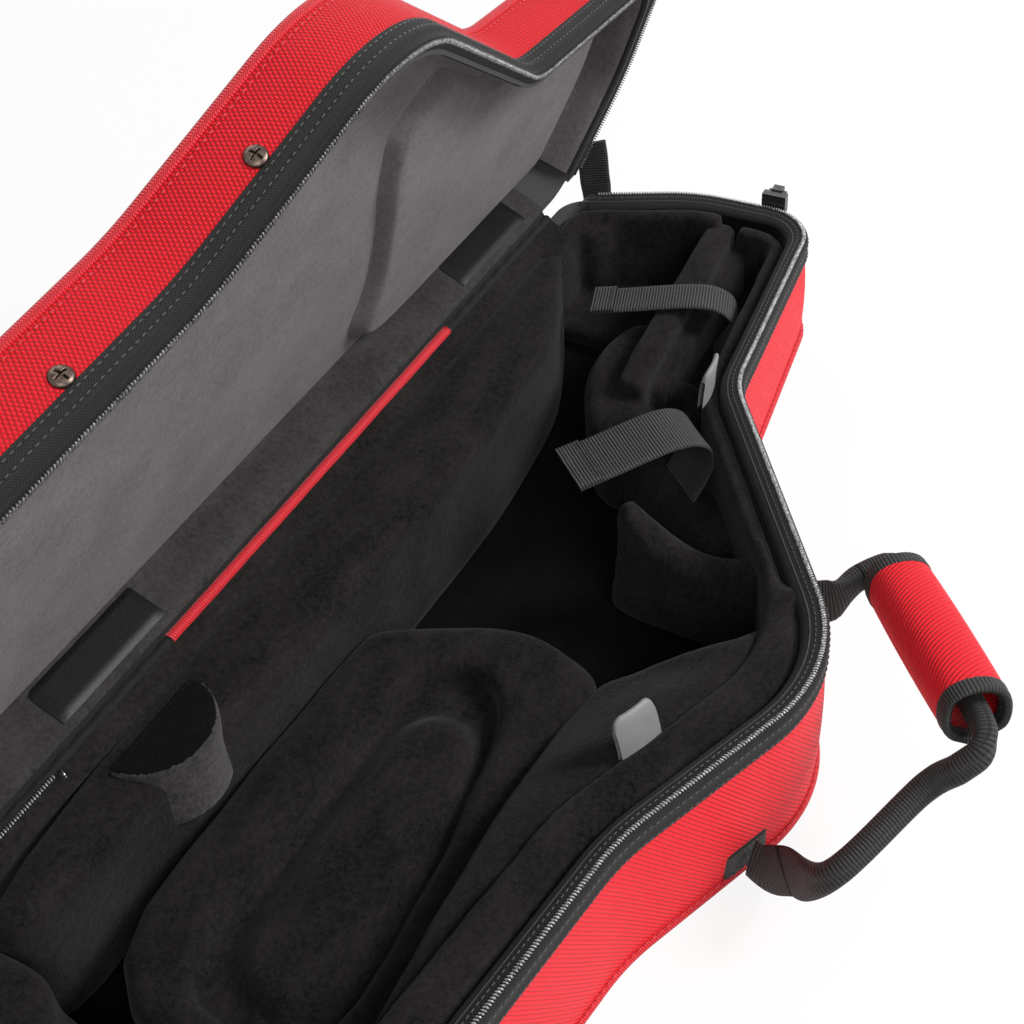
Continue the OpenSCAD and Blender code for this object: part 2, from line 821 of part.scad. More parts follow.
module handle_grip() {
    color("red") aim(grip_far, grip_near) difference() {
        translate([0, 0, binding_l]) cylinder(h = grip_l - 2 * binding_l, r = grip_r);
        translate([0, 0, -1]) cylinder(h = grip_l + 2, r = roll_r + run_gap);
    }
}

module grip_binding(from) {
    color("black") aim(grip_far, grip_near) difference() {
        translate([0, 0, from]) cylinder(h = binding_l, r = grip_r + 0.8);
        translate([0, 0, from - 1]) cylinder(h = binding_l + 2, r = roll_r + run_gap);
    }
}

module grip_binding_far() grip_binding(0);

module grip_binding_near() grip_binding(grip_l - binding_l);

module handle_anchor(p, out, z) {
    color("black") on_wall(p, out, z) translate([0, -13, -9]) cube([anchor_t, 26, 18]);
}

module handle_anchor_far() handle_anchor(wall_far + far_out * 0.05, far_out, handle_far_z);

module handle_anchor_near() handle_anchor(wall_near + near_out * 1.05, near_out, handle_near_z);

// ---- fittings ----

// Webbing patch with a sewn tunnel, and the ring that hangs in it.
ring_far_y = 22;
ring_bow_y = 30;
ring_z = base_h - 30;
tunnel_r = wire_r + 0.08;

module ring_patch(i, y) {
    p = side_at_y(i, y);
    color("black") on_wall(p + side_out(i) * 0.05, side_out(i), ring_z) difference() {
        union() {
            translate([0, -ring_w / 2 + 2, -14]) cube([1.6, ring_w - 4, 18]);
            translate([0, -ring_w / 2 + 2, -wire_r - 1.4]) cube([wire_r * 2 + 3, ring_w - 4, wire_r * 2 + 2.8]);
        }
        translate([wire_r + 1.6, 0, 0]) rotate([90, 0, 0]) cylinder(h = ring_w + 2, r = tunnel_r, center = true);
    }
}

module carry_ring(i, y) {
    p = side_at_y(i, y);
    color("silver") on_wall(p + side_out(i) * 0.05, side_out(i), ring_z) translate([wire_r + 1.6, 0, 0]) {
        rotate([90, 0, 0]) cylinder(h = ring_w + 3 * wire_r, r = wire_r, center = true);
        for (s = [-1, 1]) translate([0, s * (ring_w / 2 + wire_r), -8]) cylinder(h = 8, r = wire_r);
        translate([0, 0, -8]) rotate([-90, 0, 0]) rotate([0, 90, 0]) rotate_extrude(angle = 180)
            translate([ring_w / 2 + wire_r, 0]) circle(r = wire_r);
    }
}

module ring_patch_far() ring_patch(1, ring_far_y);

module ring_patch_bow() ring_patch(6, ring_bow_y);

module carry_ring_far() carry_ring(1, ring_far_y);

module carry_ring_bow() carry_ring(6, ring_bow_y);

// Folded webbing tab on the handle-side wall, at the middle of the shoulder's rounding.
// The wall is hollow there, so the tab stands off by the arc's height over its width.
tab_w = 24;

module side_tab() {
    arc = arc_at(5);
    out = unit(side_out(4) + side_out(5));
    off = pow(tab_w / 2, 2) / (2 * corner(5)[2]) + 0.15;
    color("black") on_wall((arc[3] + arc[4]) / 2 + out * off, out, rim_z - tape_h - 24)
        translate([0, -tab_w / 2, 0]) cube([3, tab_w, 22]);
}

// Zip slider that straddles the zip from outside, and the pull that hangs on it.
slider_h = 11;
slider_t = 5;

module slider_body(p, out) {
    color("silver") on_wall(p + out * (0.3 + run_gap), out, base_h) {
        difference() {
            union() {
                translate([0, -slider_l / 2, -slider_h / 2]) cube([slider_t, slider_l, slider_h]);
                translate([slider_t, -3, 1]) cube([5.4, 6, 5.4]);
            }
            translate([slider_t + 2.7, 0, 3.7]) rotate([90, 0, 0])
                cylinder(h = 10, r = 1.2 + 0.08, center = true);
        }
    }
}

// The pull's pin turns in the slider's eye, and its two ears reach down past it.
module slider_pull(p, out) {
    color("dimgray") on_wall(p + out * (0.3 + run_gap), out, base_h) translate([slider_t + 2.7, 0, 3.7]) {
        rotate([90, 0, 0]) cylinder(h = 10, r = 1.2, center = true);
        for (s = [-1, 1]) translate([-1.2, s * 4.2 - 0.9, -8.5]) cube([2.4, 1.8, 8.5]);
        for (s = [-1, 1]) translate([0, s * 4.2, 0]) rotate([90, 0, 0])
            cylinder(h = 1.8, r = 1.2, center = true);
        translate([-1.2, -5.1, -pull_l]) cube([2.4, 10.2, pull_l - 8]);
    }
}

slider_far_site = side_at_y(1, hinge_y - far_w + 26);
slider_bow_site = side_at_y(6, hinge_y - bow_round - 16);

module zip_slider_far() slider_body(slider_far_site, side_out(1));

module zip_slider_bow() slider_body(slider_bow_site, side_out(6));

module zip_pull_far() slider_pull(slider_far_site, side_out(1));

module zip_pull_bow() slider_pull(slider_bow_site, side_out(6));

base_frame();
base_wall_cover();
base_bottom_cover();
base_bottom_piping();
base_rim_tape();
base_zip();
base_wall_lining();
base_floor_lining();
hinge_piping();
lid_frame();
lid_wall_cover();
lid_top_cover();
lid_top_piping();
lid_rim_tape();
lid_zip();
lid_wall_lining();
lid_panel_pad();
lid_neck_pad();
lid_hinge_flap();
hook_patch_far();
hook_patch_bow();
lid_screw_bow();
lid_screw_bell();
screw_plate_bow();
screw_plate_bell();
stay_strap_far();
stay_strap_bow();
hinge_side_bolster();
far_end_pad();
neck_rail();
neck_channel_pad();
handle_side_pad();
pointed_block();
trough_pad();
bell_ridge();
body_cradle();
half_round_plug();
bow_end_pad();
waist_tab();
bell_tab();
neck_strap_root();
mouth_strap_root();
neck_strap();
mouth_strap();
handle_webbing();
handle_grip();
grip_binding_far();
grip_binding_near();
handle_anchor_far();
handle_anchor_near();
ring_patch_far();
ring_patch_bow();
carry_ring_far();
carry_ring_bow();
side_tab();
zip_slider_far();
zip_slider_bow();
zip_pull_far();
zip_pull_bow();
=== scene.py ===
"""Looks of a contoured zip case for an alto saxophone, shown open on a pale floor.

Lengths in this file are millimetres in the part's own frame; make() turns them into metres.
The lid's pieces are worked out with the lid closed and then turned open by opened().
"""

import math

import bpy
import numpy as np
from mathutils import Matrix, Vector


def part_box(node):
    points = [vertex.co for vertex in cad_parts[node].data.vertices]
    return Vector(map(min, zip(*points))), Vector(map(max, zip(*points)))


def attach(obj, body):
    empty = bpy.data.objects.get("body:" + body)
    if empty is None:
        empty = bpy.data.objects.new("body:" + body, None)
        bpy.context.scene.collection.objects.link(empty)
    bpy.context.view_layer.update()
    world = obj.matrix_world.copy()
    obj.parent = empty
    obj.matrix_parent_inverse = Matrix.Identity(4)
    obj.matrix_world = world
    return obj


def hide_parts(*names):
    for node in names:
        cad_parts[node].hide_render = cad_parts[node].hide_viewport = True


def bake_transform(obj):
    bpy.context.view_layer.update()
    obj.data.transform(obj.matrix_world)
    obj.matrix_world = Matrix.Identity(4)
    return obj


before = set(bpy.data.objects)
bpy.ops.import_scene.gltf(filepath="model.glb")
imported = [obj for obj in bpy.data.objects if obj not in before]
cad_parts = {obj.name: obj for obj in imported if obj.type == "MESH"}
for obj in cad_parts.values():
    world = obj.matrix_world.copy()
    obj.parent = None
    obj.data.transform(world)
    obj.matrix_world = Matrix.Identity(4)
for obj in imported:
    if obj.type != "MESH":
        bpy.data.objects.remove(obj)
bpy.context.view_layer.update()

MM = 0.001
BASE_H = 90.0
LID_H = 45.0
LID_DEPTH = 29.0
AXIS_Y = 128.0
LID_OPEN = math.radians(70)
TAPE_LOW = 75.0
RISE_AT = 120.0
RISE = math.atan(22 / 200)
FLOOR_TOP = 7.0
SCREW_DEPTH = 20.0
GRIP_L = 100.0
ZIP_PITCH = 1.5
ZIP_IN = 0.9
STITCH = (1.3, 0.28, 0.32)
ROLL_POINTS = 160
ROLL_SIDES = 28
UP = np.array([0, 0, 1.0])

# Corners of the outline, each with its rounding radius, clockwise from the hinge's far end.
CORNERS = [(286, 132, 20), (318, 62, 90), (321, -10, 30), (165, -28, 50),
           (10, -144, 80), (-112, -96, 120), (-320, -71, 60), (-320, 132, 60)]


# ---- small helpers ----

def unit(v):
    v = np.asarray(v, float)
    return v / np.linalg.norm(v, axis=-1, keepdims=True)


def smoothstep(t):
    t = np.clip(t, 0, 1)
    return t * t * (3 - 2 * t)


def box_mm(node):
    low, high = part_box(node)
    return np.array(low) / MM, np.array(high) / MM


def opened(co):
    """Turns points of the closed lid to where they are with the lid open."""
    co = np.array(co, float)
    y, z = co[..., 1] - AXIS_Y, co[..., 2] - BASE_H
    c, s = math.cos(LID_OPEN), math.sin(LID_OPEN)
    out = co.copy()
    out[..., 1] = AXIS_Y + y * c + z * s
    out[..., 2] = BASE_H - y * s + z * c
    return out


def on_side(i, x):
    """The point at x on the straight side after corner i, and the outward direction there."""
    p, q = (np.array(CORNERS[k % len(CORNERS)][:2], float) for k in (i, i + 1))
    d = unit(q - p)
    return p + d * (x - p[0]) / d[0], np.array([-d[1], d[0]])


def bottom_at(x):
    """Height of the underside, which turns up towards the narrow end."""
    return np.maximum(0, (np.asarray(x, float) - RISE_AT) * math.tan(RISE))


def make(name, co, faces, material, body, nodes=(), uv=None, ride=True):
    mesh = bpy.data.meshes.new(name)
    mesh.from_pydata((np.asarray(co, float) * MM).tolist(), [], [tuple(int(k) for k in f) for f in faces])
    mesh.update()
    if uv is not None:
        layer = mesh.uv_layers.new(name="UVMap")
        index = np.empty(len(mesh.loops), int)
        mesh.loops.foreach_get("vertex_index", index)
        layer.data.foreach_set("uv", (np.asarray(uv, float) * MM)[index].astype(np.float32).ravel())
    mesh.polygons.foreach_set("use_smooth", [True] * len(mesh.polygons))
    mesh.materials.append(material)
    obj = bpy.data.objects.new(name, mesh)
    bpy.context.scene.collection.objects.link(obj)
    if ride:
        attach(obj, body)
    if nodes:
        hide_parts(*nodes)
    return obj


def grid_faces(rows, cols, wrap_rows=False, wrap_cols=False):
    r = np.arange(rows if wrap_rows else rows - 1)
    c = np.arange(cols if wrap_cols else cols - 1)
    i, j = np.meshgrid(r, c, indexing="ij")
    a = i * cols + j
    b = i * cols + (j + 1) % cols
    d = ((i + 1) % rows) * cols + j
    e = ((i + 1) % rows) * cols + (j + 1) % cols
    return np.stack([a, b, e, d], -1).reshape(-1, 4)


# ---- the outline ----

def corner_arc(i, steps=24):
    p, q, o = (np.array(CORNERS[k % len(CORNERS)][:2], float) for k in (i, i + 1, i - 1))
    r = CORNERS[i][2]
    a, b = unit(o - p), unit(q - p)
    half = math.acos(float(a @ b)) / 2
    centre = p + unit(a + b) * r / math.sin(half)
    u, v = p + a * r / math.tan(half) - centre, p + b * r / math.tan(half) - centre
    turn = math.atan2(u[0] * v[1] - u[1] * v[0], float(u @ v))
    return [centre + Matrix.Rotation(turn * k / steps, 2) @ Vector(u) for k in range(steps + 1)]


def make_outline(step=3.0):
    pts = np.array([p for i in range(len(CORNERS)) for p in corner_arc(i)], float)
    pts = np.vstack([pts, pts[:1]])
    s = np.concatenate([[0], np.cumsum(np.linalg.norm(np.diff(pts, axis=0), axis=1))])
    n = int(s[-1] / step)
    at = np.arange(n) * s[-1] / n
    p = np.stack([np.interp(at, s, pts[:, k]) for k in (0, 1)], -1)
    d = unit(np.roll(p, -1, 0) - np.roll(p, 1, 0))
    return p, np.stack([-d[:, 1], d[:, 0]], -1), at


RIM_P, RIM_N, RIM_S = make_outline()
RIM_COUNT = len(RIM_P)


def open_run(y_max=120.0):
    """The run of the outline without its hinge side, in order, as indices."""
    hinge = RIM_P[:, 1] > y_max
    first = next(i for i in range(RIM_COUNT) if hinge[i - 1] and not hinge[i])
    return [(first + k) % RIM_COUNT for k in range(int((~hinge).sum()))]


def rim_points(run, d, z):
    """Points at offset d from the outline and height z, for a run of indices."""
    p = RIM_P[run] + RIM_N[run] * np.reshape(d, (-1, 1))
    return np.column_stack([p, np.broadcast_to(z, len(run))])


def band(name, run, profile, material, body, nodes=(), lid=False, closed=False):
    """A strip round the outline. profile lists (offset, height) pairs, each a number or one per point."""
    rows = [rim_points(run, np.broadcast_to(d, len(run)), z) for d, z in profile]
    co = np.stack(rows, 1)
    step = np.linalg.norm(np.diff(co, axis=1), axis=2)
    v = np.concatenate([np.zeros((len(run), 1)), np.cumsum(step, 1)], 1)
    along = np.arange(len(run)) * (RIM_S[1] - RIM_S[0])
    uv = np.stack([np.broadcast_to(along[:, None], v.shape), v], -1)
    faces = grid_faces(len(run), len(profile), wrap_rows=closed)
    co = co.reshape(-1, 3)
    if lid:
        co = opened(co)
    return make(name, co, faces, material, body, nodes, uv.reshape(-1, 2))


ALL_ROUND = list(range(RIM_COUNT))
OPEN_RUN = open_run()


# ---- soft solids from distance fields ----

def poly_distance(x, y, pts):
    """Signed distance to a closed polygon, negative inside."""
    pts = np.asarray(pts, float)
    d = np.full(x.shape, 1e9)
    inside = np.zeros(x.shape, bool)
    for (ax, ay), (bx, by) in zip(pts, np.roll(pts, -1, 0)):
        ex, ey = bx - ax, by - ay
        t = np.clip(((x - ax) * ex + (y - ay) * ey) / (ex * ex + ey * ey + 1e-9), 0, 1)
        d = np.minimum(d, np.hypot(x - ax - ex * t, y - ay - ey * t))
        cross = ((ay > y) != (by > y)) & (x < ex * (y - ay) / np.where(by == ay, 1e-9, by - ay) + ax)
        inside ^= cross
    return np.where(inside, -d, d)


def smooth_curve(pts, rounds=3):
    """Rounds the corners of a closed polygon by cutting them."""
    pts = np.asarray(pts, float)
    for _ in range(rounds):
        nxt = np.roll(pts, -1, 0)
        pts = np.stack([pts * 0.75 + nxt * 0.25, pts * 0.25 + nxt * 0.75], 1).reshape(-1, 2)
    return pts


def smooth_max(a, b, k):
    h = np.maximum(k - np.abs(a - b), 0) / k
    return np.maximum(a, b) + h * h * k / 4


def smooth_min(a, b, k):
    return -smooth_max(-a, -b, k)


def rounded(d2, dz, r):
    """A prism whose plan distance is d2 and height distance is dz, with its edges rounded by r."""
    a, b = d2 + r, dz + r
    return np.minimum(np.maximum(a, b), 0) + np.hypot(np.maximum(a, 0), np.maximum(b, 0)) - r


def surface_nets(field, step, low):
    """The zero surface of a sampled field as quads."""
    inside = field < 0
    shape = np.array(field.shape) - 1
    total = np.zeros((*shape, 3))
    count = np.zeros(shape)
    crossings = []
    for a in range(3):
        lo = [slice(None)] * 3
        hi = [slice(None)] * 3
        lo[a], hi[a] = slice(0, -1), slice(1, None)
        lo, hi = tuple(lo), tuple(hi)
        hit = np.argwhere(inside[lo] != inside[hi])
        f0, f1 = field[lo][tuple(hit.T)], field[hi][tuple(hit.T)]
        p = hit.astype(float)
        p[:, a] += f0 / (f0 - f1)
        b, c = (a + 1) % 3, (a + 2) % 3
        cells = []
        for db, dc in ((0, 0), (-1, 0), (-1, -1), (0, -1)):
            cell = hit.copy()
            cell[:, b] += db
            cell[:, c] += dc
            cells.append(cell)
            ok = ((cell >= 0) & (cell < shape)).all(1)
            np.add.at(total, tuple(cell[ok].T), p[ok])
            np.add.at(count, tuple(cell[ok].T), 1)
        crossings.append((cells, f0 < 0))
    used = count > 0
    number = np.full(shape, -1)
    number[used] = np.arange(int(used.sum()))
    co = total[used] / count[used][:, None] * step + np.asarray(low, float)
    faces = []
    for cells, out in crossings:
        ok = np.all([((c >= 0) & (c < shape)).all(1) for c in cells], axis=0)
        quad = np.stack([number[tuple(c[ok].T)] for c in cells], 1)
        flip = ~out[ok]
        quad[flip] = quad[flip][:, ::-1]
        faces.append(quad)
    return co, np.vstack(faces)


def smooth_mesh(co, faces, rounds, amount=0.5):
    """Laplacian smoothing, which softens the steps of the grid."""
    a = np.concatenate([faces[:, k] for k in range(4)])
    b = np.concatenate([faces[:, (k + 1) % 4] for k in range(4)])
    n = np.zeros(len(co))
    np.add.at(n, a, 1)
    np.add.at(n, b, 1)
    for _ in range(rounds):
        total = np.zeros_like(co)
        np.add.at(total, a, co[b])
        np.add.at(total, b, co[a])
        co = co + (total / n[:, None] - co) * amount
    return co


def wander(x, y, z, size, seed):
    """A slow, smooth unevenness between -1 and 1."""
    k = 2 * math.pi / size
    slow = np.sin(k * x + seed) * np.cos(0.8 * k * y + 2 * seed)
    return (slow + np.sin(0.7 * k * y - 0.6 * k * z + seed)) / 2


def pad(name, low, high, field, material, nodes, step=2.5, body="base", lid=False,
        uneven=0.5, rounds=2):
    """A foam pad under plush: the zero surface of field(x, y, z) inside the box low..high."""
    axes = [np.arange(low[k] - 2 * step, high[k] + 3 * step, step) for k in range(3)]
    x, y, z = np.meshgrid(*axes, indexing="ij")
    d = field(x, y, z) + uneven * wander(x, y, z, 55, len(name))
    co, faces = surface_nets(d, step, [a[0] for a in axes])
    co = smooth_mesh(co, faces, rounds)
    if lid:
        co = opened(co)
    obj = make(name, co, faces, material, body, nodes, None)
    return obj


OUTLINE_FAST = RIM_P[::4]


def case_distance(x, y):
    """Signed distance to the case's outline, worked out once for each plan position."""
    flat = poly_distance(x[:, :, 0], y[:, :, 0], OUTLINE_FAST)
    return flat[:, :, None] + 0 * x


def plan(x, y, pts, rounds=3):
    flat = poly_distance(x[:, :, 0], y[:, :, 0], smooth_curve(pts, rounds) if rounds else pts)
    return flat[:, :, None] + 0 * x


# ---- sweeps along a path ----

def spline(points, count):
    """Points of a smooth curve through the given ones, evenly spread."""
    p = np.asarray(points, float)
    p = np.vstack([2 * p[0] - p[1], p, 2 * p[-1] - p[-2]])
    out = []
    for i in range(1, len(p) - 2):
        t = np.linspace(0, 1, 24, endpoint=False)[:, None]
        a, b, c, d = p[i - 1], p[i], p[i + 1], p[i + 2]
        out.append(0.5 * (2 * b + (c - a) * t + (2 * a - 5 * b + 4 * c - d) * t ** 2
                          + (3 * b - a - 3 * c + d) * t ** 3))
    out = np.vstack(out + [p[-2:-1]])
    s = np.concatenate([[0], np.cumsum(np.linalg.norm(np.diff(out, axis=0), axis=1))])
    at = np.linspace(0, s[-1], count)
    return np.stack([np.interp(at, s, out[:, k]) for k in range(out.shape[1])], -1)


def frames(path, across):
    """Direction, side and upward vectors along a path; across is one vector or one per point."""
    path = np.asarray(path, float)
    d = unit(np.gradient(path, axis=0))
    across = np.broadcast_to(np.asarray(across, float), path.shape)
    side = unit(across - d * (across * d).sum(1, keepdims=True))
    return d, side, np.cross(d, side)


def sweep(path, across, section, closed=False):
    """A tube of cross-section section(i, t) -> list of (side, up), along path. Returns points, faces, uv."""
    d, side, over = frames(path, across)
    if closed:
        path = np.asarray(path, float)
        d = unit(np.roll(path, -1, 0) - np.roll(path, 1, 0))
        side = unit(np.asarray(across) - d * (np.asarray(across) * d).sum(1, keepdims=True))
        over = np.cross(d, side)
    n = len(path)
    rings, uvs = [], []
    s = np.concatenate([[0], np.cumsum(np.linalg.norm(np.diff(path, axis=0), axis=1))])
    for i in range(n):
        sec = np.asarray(section(i, i / (n - 1)), float)
        rings.append(path[i] + side[i] * sec[:, :1] + over[i] * sec[:, 1:2])
        w = np.concatenate([[0], np.cumsum(np.linalg.norm(np.diff(sec, axis=0), axis=1))])
        uvs.append(np.stack([np.full(len(sec), s[i]), w], -1))
    m = len(rings[0])
    faces = [tuple(f) for f in grid_faces(n, m, wrap_rows=closed, wrap_cols=True)]
    if not closed:
        faces += [tuple(range(m)), tuple((n - 1) * m + k for k in reversed(range(m)))]
    return np.vstack(rings), faces, np.vstack(uvs)


def circle(r, sides):
    return [(r * math.cos(a), r * math.sin(a)) for a in np.linspace(0, 2 * math.pi, sides, endpoint=False)]


def web_section(w, t):
    """Cross-section of webbing: flat, with rounded selvedges."""
    half, r = w / 2, t / 2
    xs = np.linspace(-half + r, half - r, 9)
    top = [(x, r * (1 - 0.15 * math.cos(math.pi * x / half))) for x in xs]
    return [(-half, 0)] + top + [(half, 0)] + [(x, -y) for x, y in reversed(top)]


def ribbon(name, path, across, w, t, material, body, nodes=(), count=60, ride=True):
    path = spline(path, count)
    co, faces, uv = sweep(path, across, lambda i, f: web_section(w, t))
    return make(name, co, faces, material, body, nodes, uv, ride=ride)


# ---- scattering small pieces into one mesh ----

def bead(rings=5, sides=8):
    """A small round template, one unit in radius."""
    co = [(0, 0, -1)]
    for i in range(1, rings):
        a = -math.pi / 2 + math.pi * i / rings
        co += [(math.cos(a) * math.cos(2 * math.pi * k / sides),
                math.cos(a) * math.sin(2 * math.pi * k / sides),
                math.sin(a)) for k in range(sides)]
    co.append((0, 0, 1))
    faces = [(0, 1 + (k + 1) % sides, 1 + k) for k in range(sides)]
    for i in range(rings - 2):
        a = 1 + i * sides
        faces += [(a + k, a + (k + 1) % sides, a + sides + (k + 1) % sides,
                   a + sides + k) for k in range(sides)]
    last = 1 + (rings - 1) * sides
    faces += [(last, last - sides + k, last - sides + (k + 1) % sides) for k in range(sides)]
    return np.array(co), faces


def scatter(name, at, axes, size, material, body, nodes=(), lid=False, template=None):
    """Copies of a bead at points, each along its own axes, joined in one mesh. size is three half-lengths."""
    co, faces = template or bead()
    x, y, z = axes
    all_co = (np.asarray(at)[:, None, :] + co[None, :, :1] * size[0] * x[:, None, :]
              + co[None, :, 1:2] * size[1] * y[:, None, :] + co[None, :, 2:3] * size[2] * z[:, None, :])
    n = len(co)
    all_faces = [tuple(i * n + k for k in f) for i in range(len(at)) for f in faces]
    all_co = all_co.reshape(-1, 3)
    if lid:
        all_co = opened(all_co)
    return make(name, all_co, all_faces, material, body, nodes, None)


def same_axes(count, *vectors):
    """One set of axes, given to every copy."""
    return [np.tile(v, (count, 1)) for v in vectors]


def along_rim(run, pitch, d, z):
    """Places, directions and outward directions spaced evenly along an offset of the outline."""
    path = rim_points(run, d, z)
    s = np.concatenate([[0], np.cumsum(np.linalg.norm(np.diff(path, axis=0), axis=1))])
    at = np.arange(0.0, s[-1], pitch)
    p = np.stack([np.interp(at, s, path[:, k]) for k in range(3)], -1)
    nrm = np.stack([np.interp(at, s, RIM_N[run][:, k]) for k in (0, 1)] + [np.zeros(len(at))], -1)
    nrm = unit(nrm)
    up = np.broadcast_to(UP, p.shape)
    return p, np.cross(up, nrm), nrm, up


# ---- materials ----

# A wave texture turns through 20 radians a unit, so this over the pitch gives one rib to each pitch.
WAVE_RATE = 0.31416


class Shader:
    """A principled material and short ways to add nodes to it."""

    def __init__(self, name, roughness=0.8, metallic=0.0, sheen=0.0, sheen_roughness=0.5, specular=0.5):
        self.mat = bpy.data.materials.new(name)
        self.mat.use_nodes = True
        self.tree = self.mat.node_tree
        self.bsdf = self.tree.nodes["Principled BSDF"]
        self.bsdf.inputs["Roughness"].default_value = roughness
        self.bsdf.inputs["Metallic"].default_value = metallic
        self.bsdf.inputs["Sheen Weight"].default_value = sheen
        self.bsdf.inputs["Sheen Roughness"].default_value = sheen_roughness
        self.bsdf.inputs["Specular IOR Level"].default_value = specular

    def add(self, kind, values=(), **props):
        node = self.tree.nodes.new("ShaderNode" + kind)
        for key, value in props.items():
            setattr(node, key, value)
        for key, value in dict(values).items():
            if isinstance(value, bpy.types.NodeSocket):
                self.tree.links.new(value, node.inputs[key])
            else:
                node.inputs[key].default_value = value
        return node

    def place(self, kind, angle=0.0, stretch=(1, 1, 1)):
        """Texture coordinates in metres: kind is UV or Object."""
        source = self.add("TexCoord").outputs[kind]
        return self.add("Mapping", {"Vector": source, "Rotation": (0, 0, math.radians(angle)),
                                    "Scale": stretch}).outputs["Vector"]

    def ribs(self, vector, pitch_mm, distortion=0.0):
        return self.add("TexWave", {"Vector": vector, "Scale": WAVE_RATE / (pitch_mm * MM),
                                    "Distortion": distortion,
                                    "Detail": 1.0, "Detail Scale": 2.0}).outputs["Fac"]

    def noise(self, vector, size_mm, detail=2.0, rough=0.5):
        return self.add("TexNoise", {"Vector": vector, "Scale": 1 / (size_mm * MM), "Detail": detail,
                                     "Roughness": rough}).outputs["Fac"]

    def math(self, kind, a, b=0.0):
        return self.add("Math", {0: a, 1: b}, operation=kind).outputs[0]

    def span(self, value, low, high, to_low=0.0, to_high=1.0):
        return self.add("MapRange", {"Value": value, "From Min": low, "From Max": high, "To Min": to_low,
                                     "To Max": to_high}).outputs["Result"]

    def mix(self, factor, a, b):
        node = self.add("Mix", data_type="RGBA")
        for socket, value in ((node.inputs[0], factor), (node.inputs[6], a), (node.inputs[7], b)):
            if isinstance(value, bpy.types.NodeSocket):
                self.tree.links.new(value, socket)
            else:
                socket.default_value = value if isinstance(value, (int, float)) else (*value, 1)
        return node.outputs[2]

    def finish(self, color, height=None, depth_mm=0.3, strength=1.0, roughness=None):
        if isinstance(color, tuple):
            self.bsdf.inputs["Base Color"].default_value = (*color, 1)
        else:
            self.tree.links.new(color, self.bsdf.inputs["Base Color"])
        if roughness is not None:
            self.tree.links.new(roughness, self.bsdf.inputs["Roughness"])
        if height is not None:
            bump = self.add("Bump", {"Height": height, "Distance": depth_mm * MM, "Strength": strength})
            self.tree.links.new(bump.outputs["Normal"], self.bsdf.inputs["Normal"])
        return self.mat


def red_twill(name, coords, angle, pitch=1.9):
    """Ballistic nylon: strong slanting ribs crossed by fine threads."""
    s = Shader(name, roughness=0.62, sheen=0.05, specular=0.25)
    rib = s.ribs(s.place(coords, angle), pitch, 0.25)
    thread = s.ribs(s.place(coords, angle + 72), pitch * 0.55, 0.4)
    height = s.math("ADD", rib, s.math("MULTIPLY", thread, 0.35))
    patch = s.noise(s.place(coords), 40, 3)
    fleck = s.noise(s.place(coords), 1.2, 2)
    top = s.mix(patch, (0.86, 0.004, 0.014), (0.97, 0.012, 0.030))
    low = s.mix(fleck, (0.36, 0.0, 0.004), (0.58, 0.004, 0.012))
    color = s.mix(s.span(height, 0.1, 0.75), low, top)
    return s.finish(color, height, 0.45, 0.8)


def red_basket(name, coords, pitch=1.7):
    """The same nylon where its threads show as small lozenges."""
    s = Shader(name, roughness=0.6, sheen=0.05, specular=0.25)
    a = s.ribs(s.place(coords, 33), pitch, 0.2)
    b = s.ribs(s.place(coords, -33), pitch, 0.2)
    height = s.math("MULTIPLY", a, b)
    patch = s.noise(s.place(coords), 45, 3)
    top = s.mix(patch, (0.82, 0.002, 0.012), (0.94, 0.007, 0.022))
    color = s.mix(s.span(height, 0.05, 0.5), (0.34, 0.001, 0.006), top)
    return s.finish(color, height, 0.5, 0.8)


def plush(name, dark, light, speckle=0.5, sheen=0.35):
    """Short-pile plush: fine fibres that catch the light, with soft brushed patches."""
    s = Shader(name, roughness=0.95, sheen=sheen, sheen_roughness=0.35, specular=0.1)
    at = s.place("Object")
    fibre = s.noise(at, 0.55, 3, 0.7)
    clump = s.noise(at, 2.6, 3, 0.6)
    brushed = s.noise(s.place("Object", 20, (1, 2.2, 1)), 38, 4, 0.55)
    shade = s.math("ADD", s.math("MULTIPLY", s.span(fibre, 0.35, 0.7), speckle),
                   s.math("ADD", s.math("MULTIPLY", s.span(clump, 0.35, 0.68), 0.3),
                          s.math("MULTIPLY", s.span(brushed, 0.36, 0.66), 0.28)))
    color = s.mix(s.span(shade, 0.12, 0.98), dark, light)
    height = s.math("ADD", fibre, s.math("MULTIPLY", clump, 1.2))
    return s.finish(color, height, 0.5, 0.7)


def ribbed_webbing(name, dark=(0.004, 0.004, 0.004), light=(0.045, 0.043, 0.042), pitch=1.5):
    """Nylon webbing: ribs across its length, with finer yarns along it."""
    s = Shader(name, roughness=0.6, sheen=0.06, specular=0.25)
    at = s.place("UV")
    rib = s.ribs(at, pitch, 0.15)
    yarn = s.ribs(s.place("UV", 90), 1.1, 0.3)
    height = s.math("ADD", s.math("MULTIPLY", rib, 0.8), s.math("MULTIPLY", yarn, 0.25))
    bright = s.mix(s.noise(at, 6, 2), light, tuple(0.7 * c for c in light))
    color = s.mix(s.span(height, 0.15, 0.95), dark, bright)
    return s.finish(color, height, 0.45, 0.9)


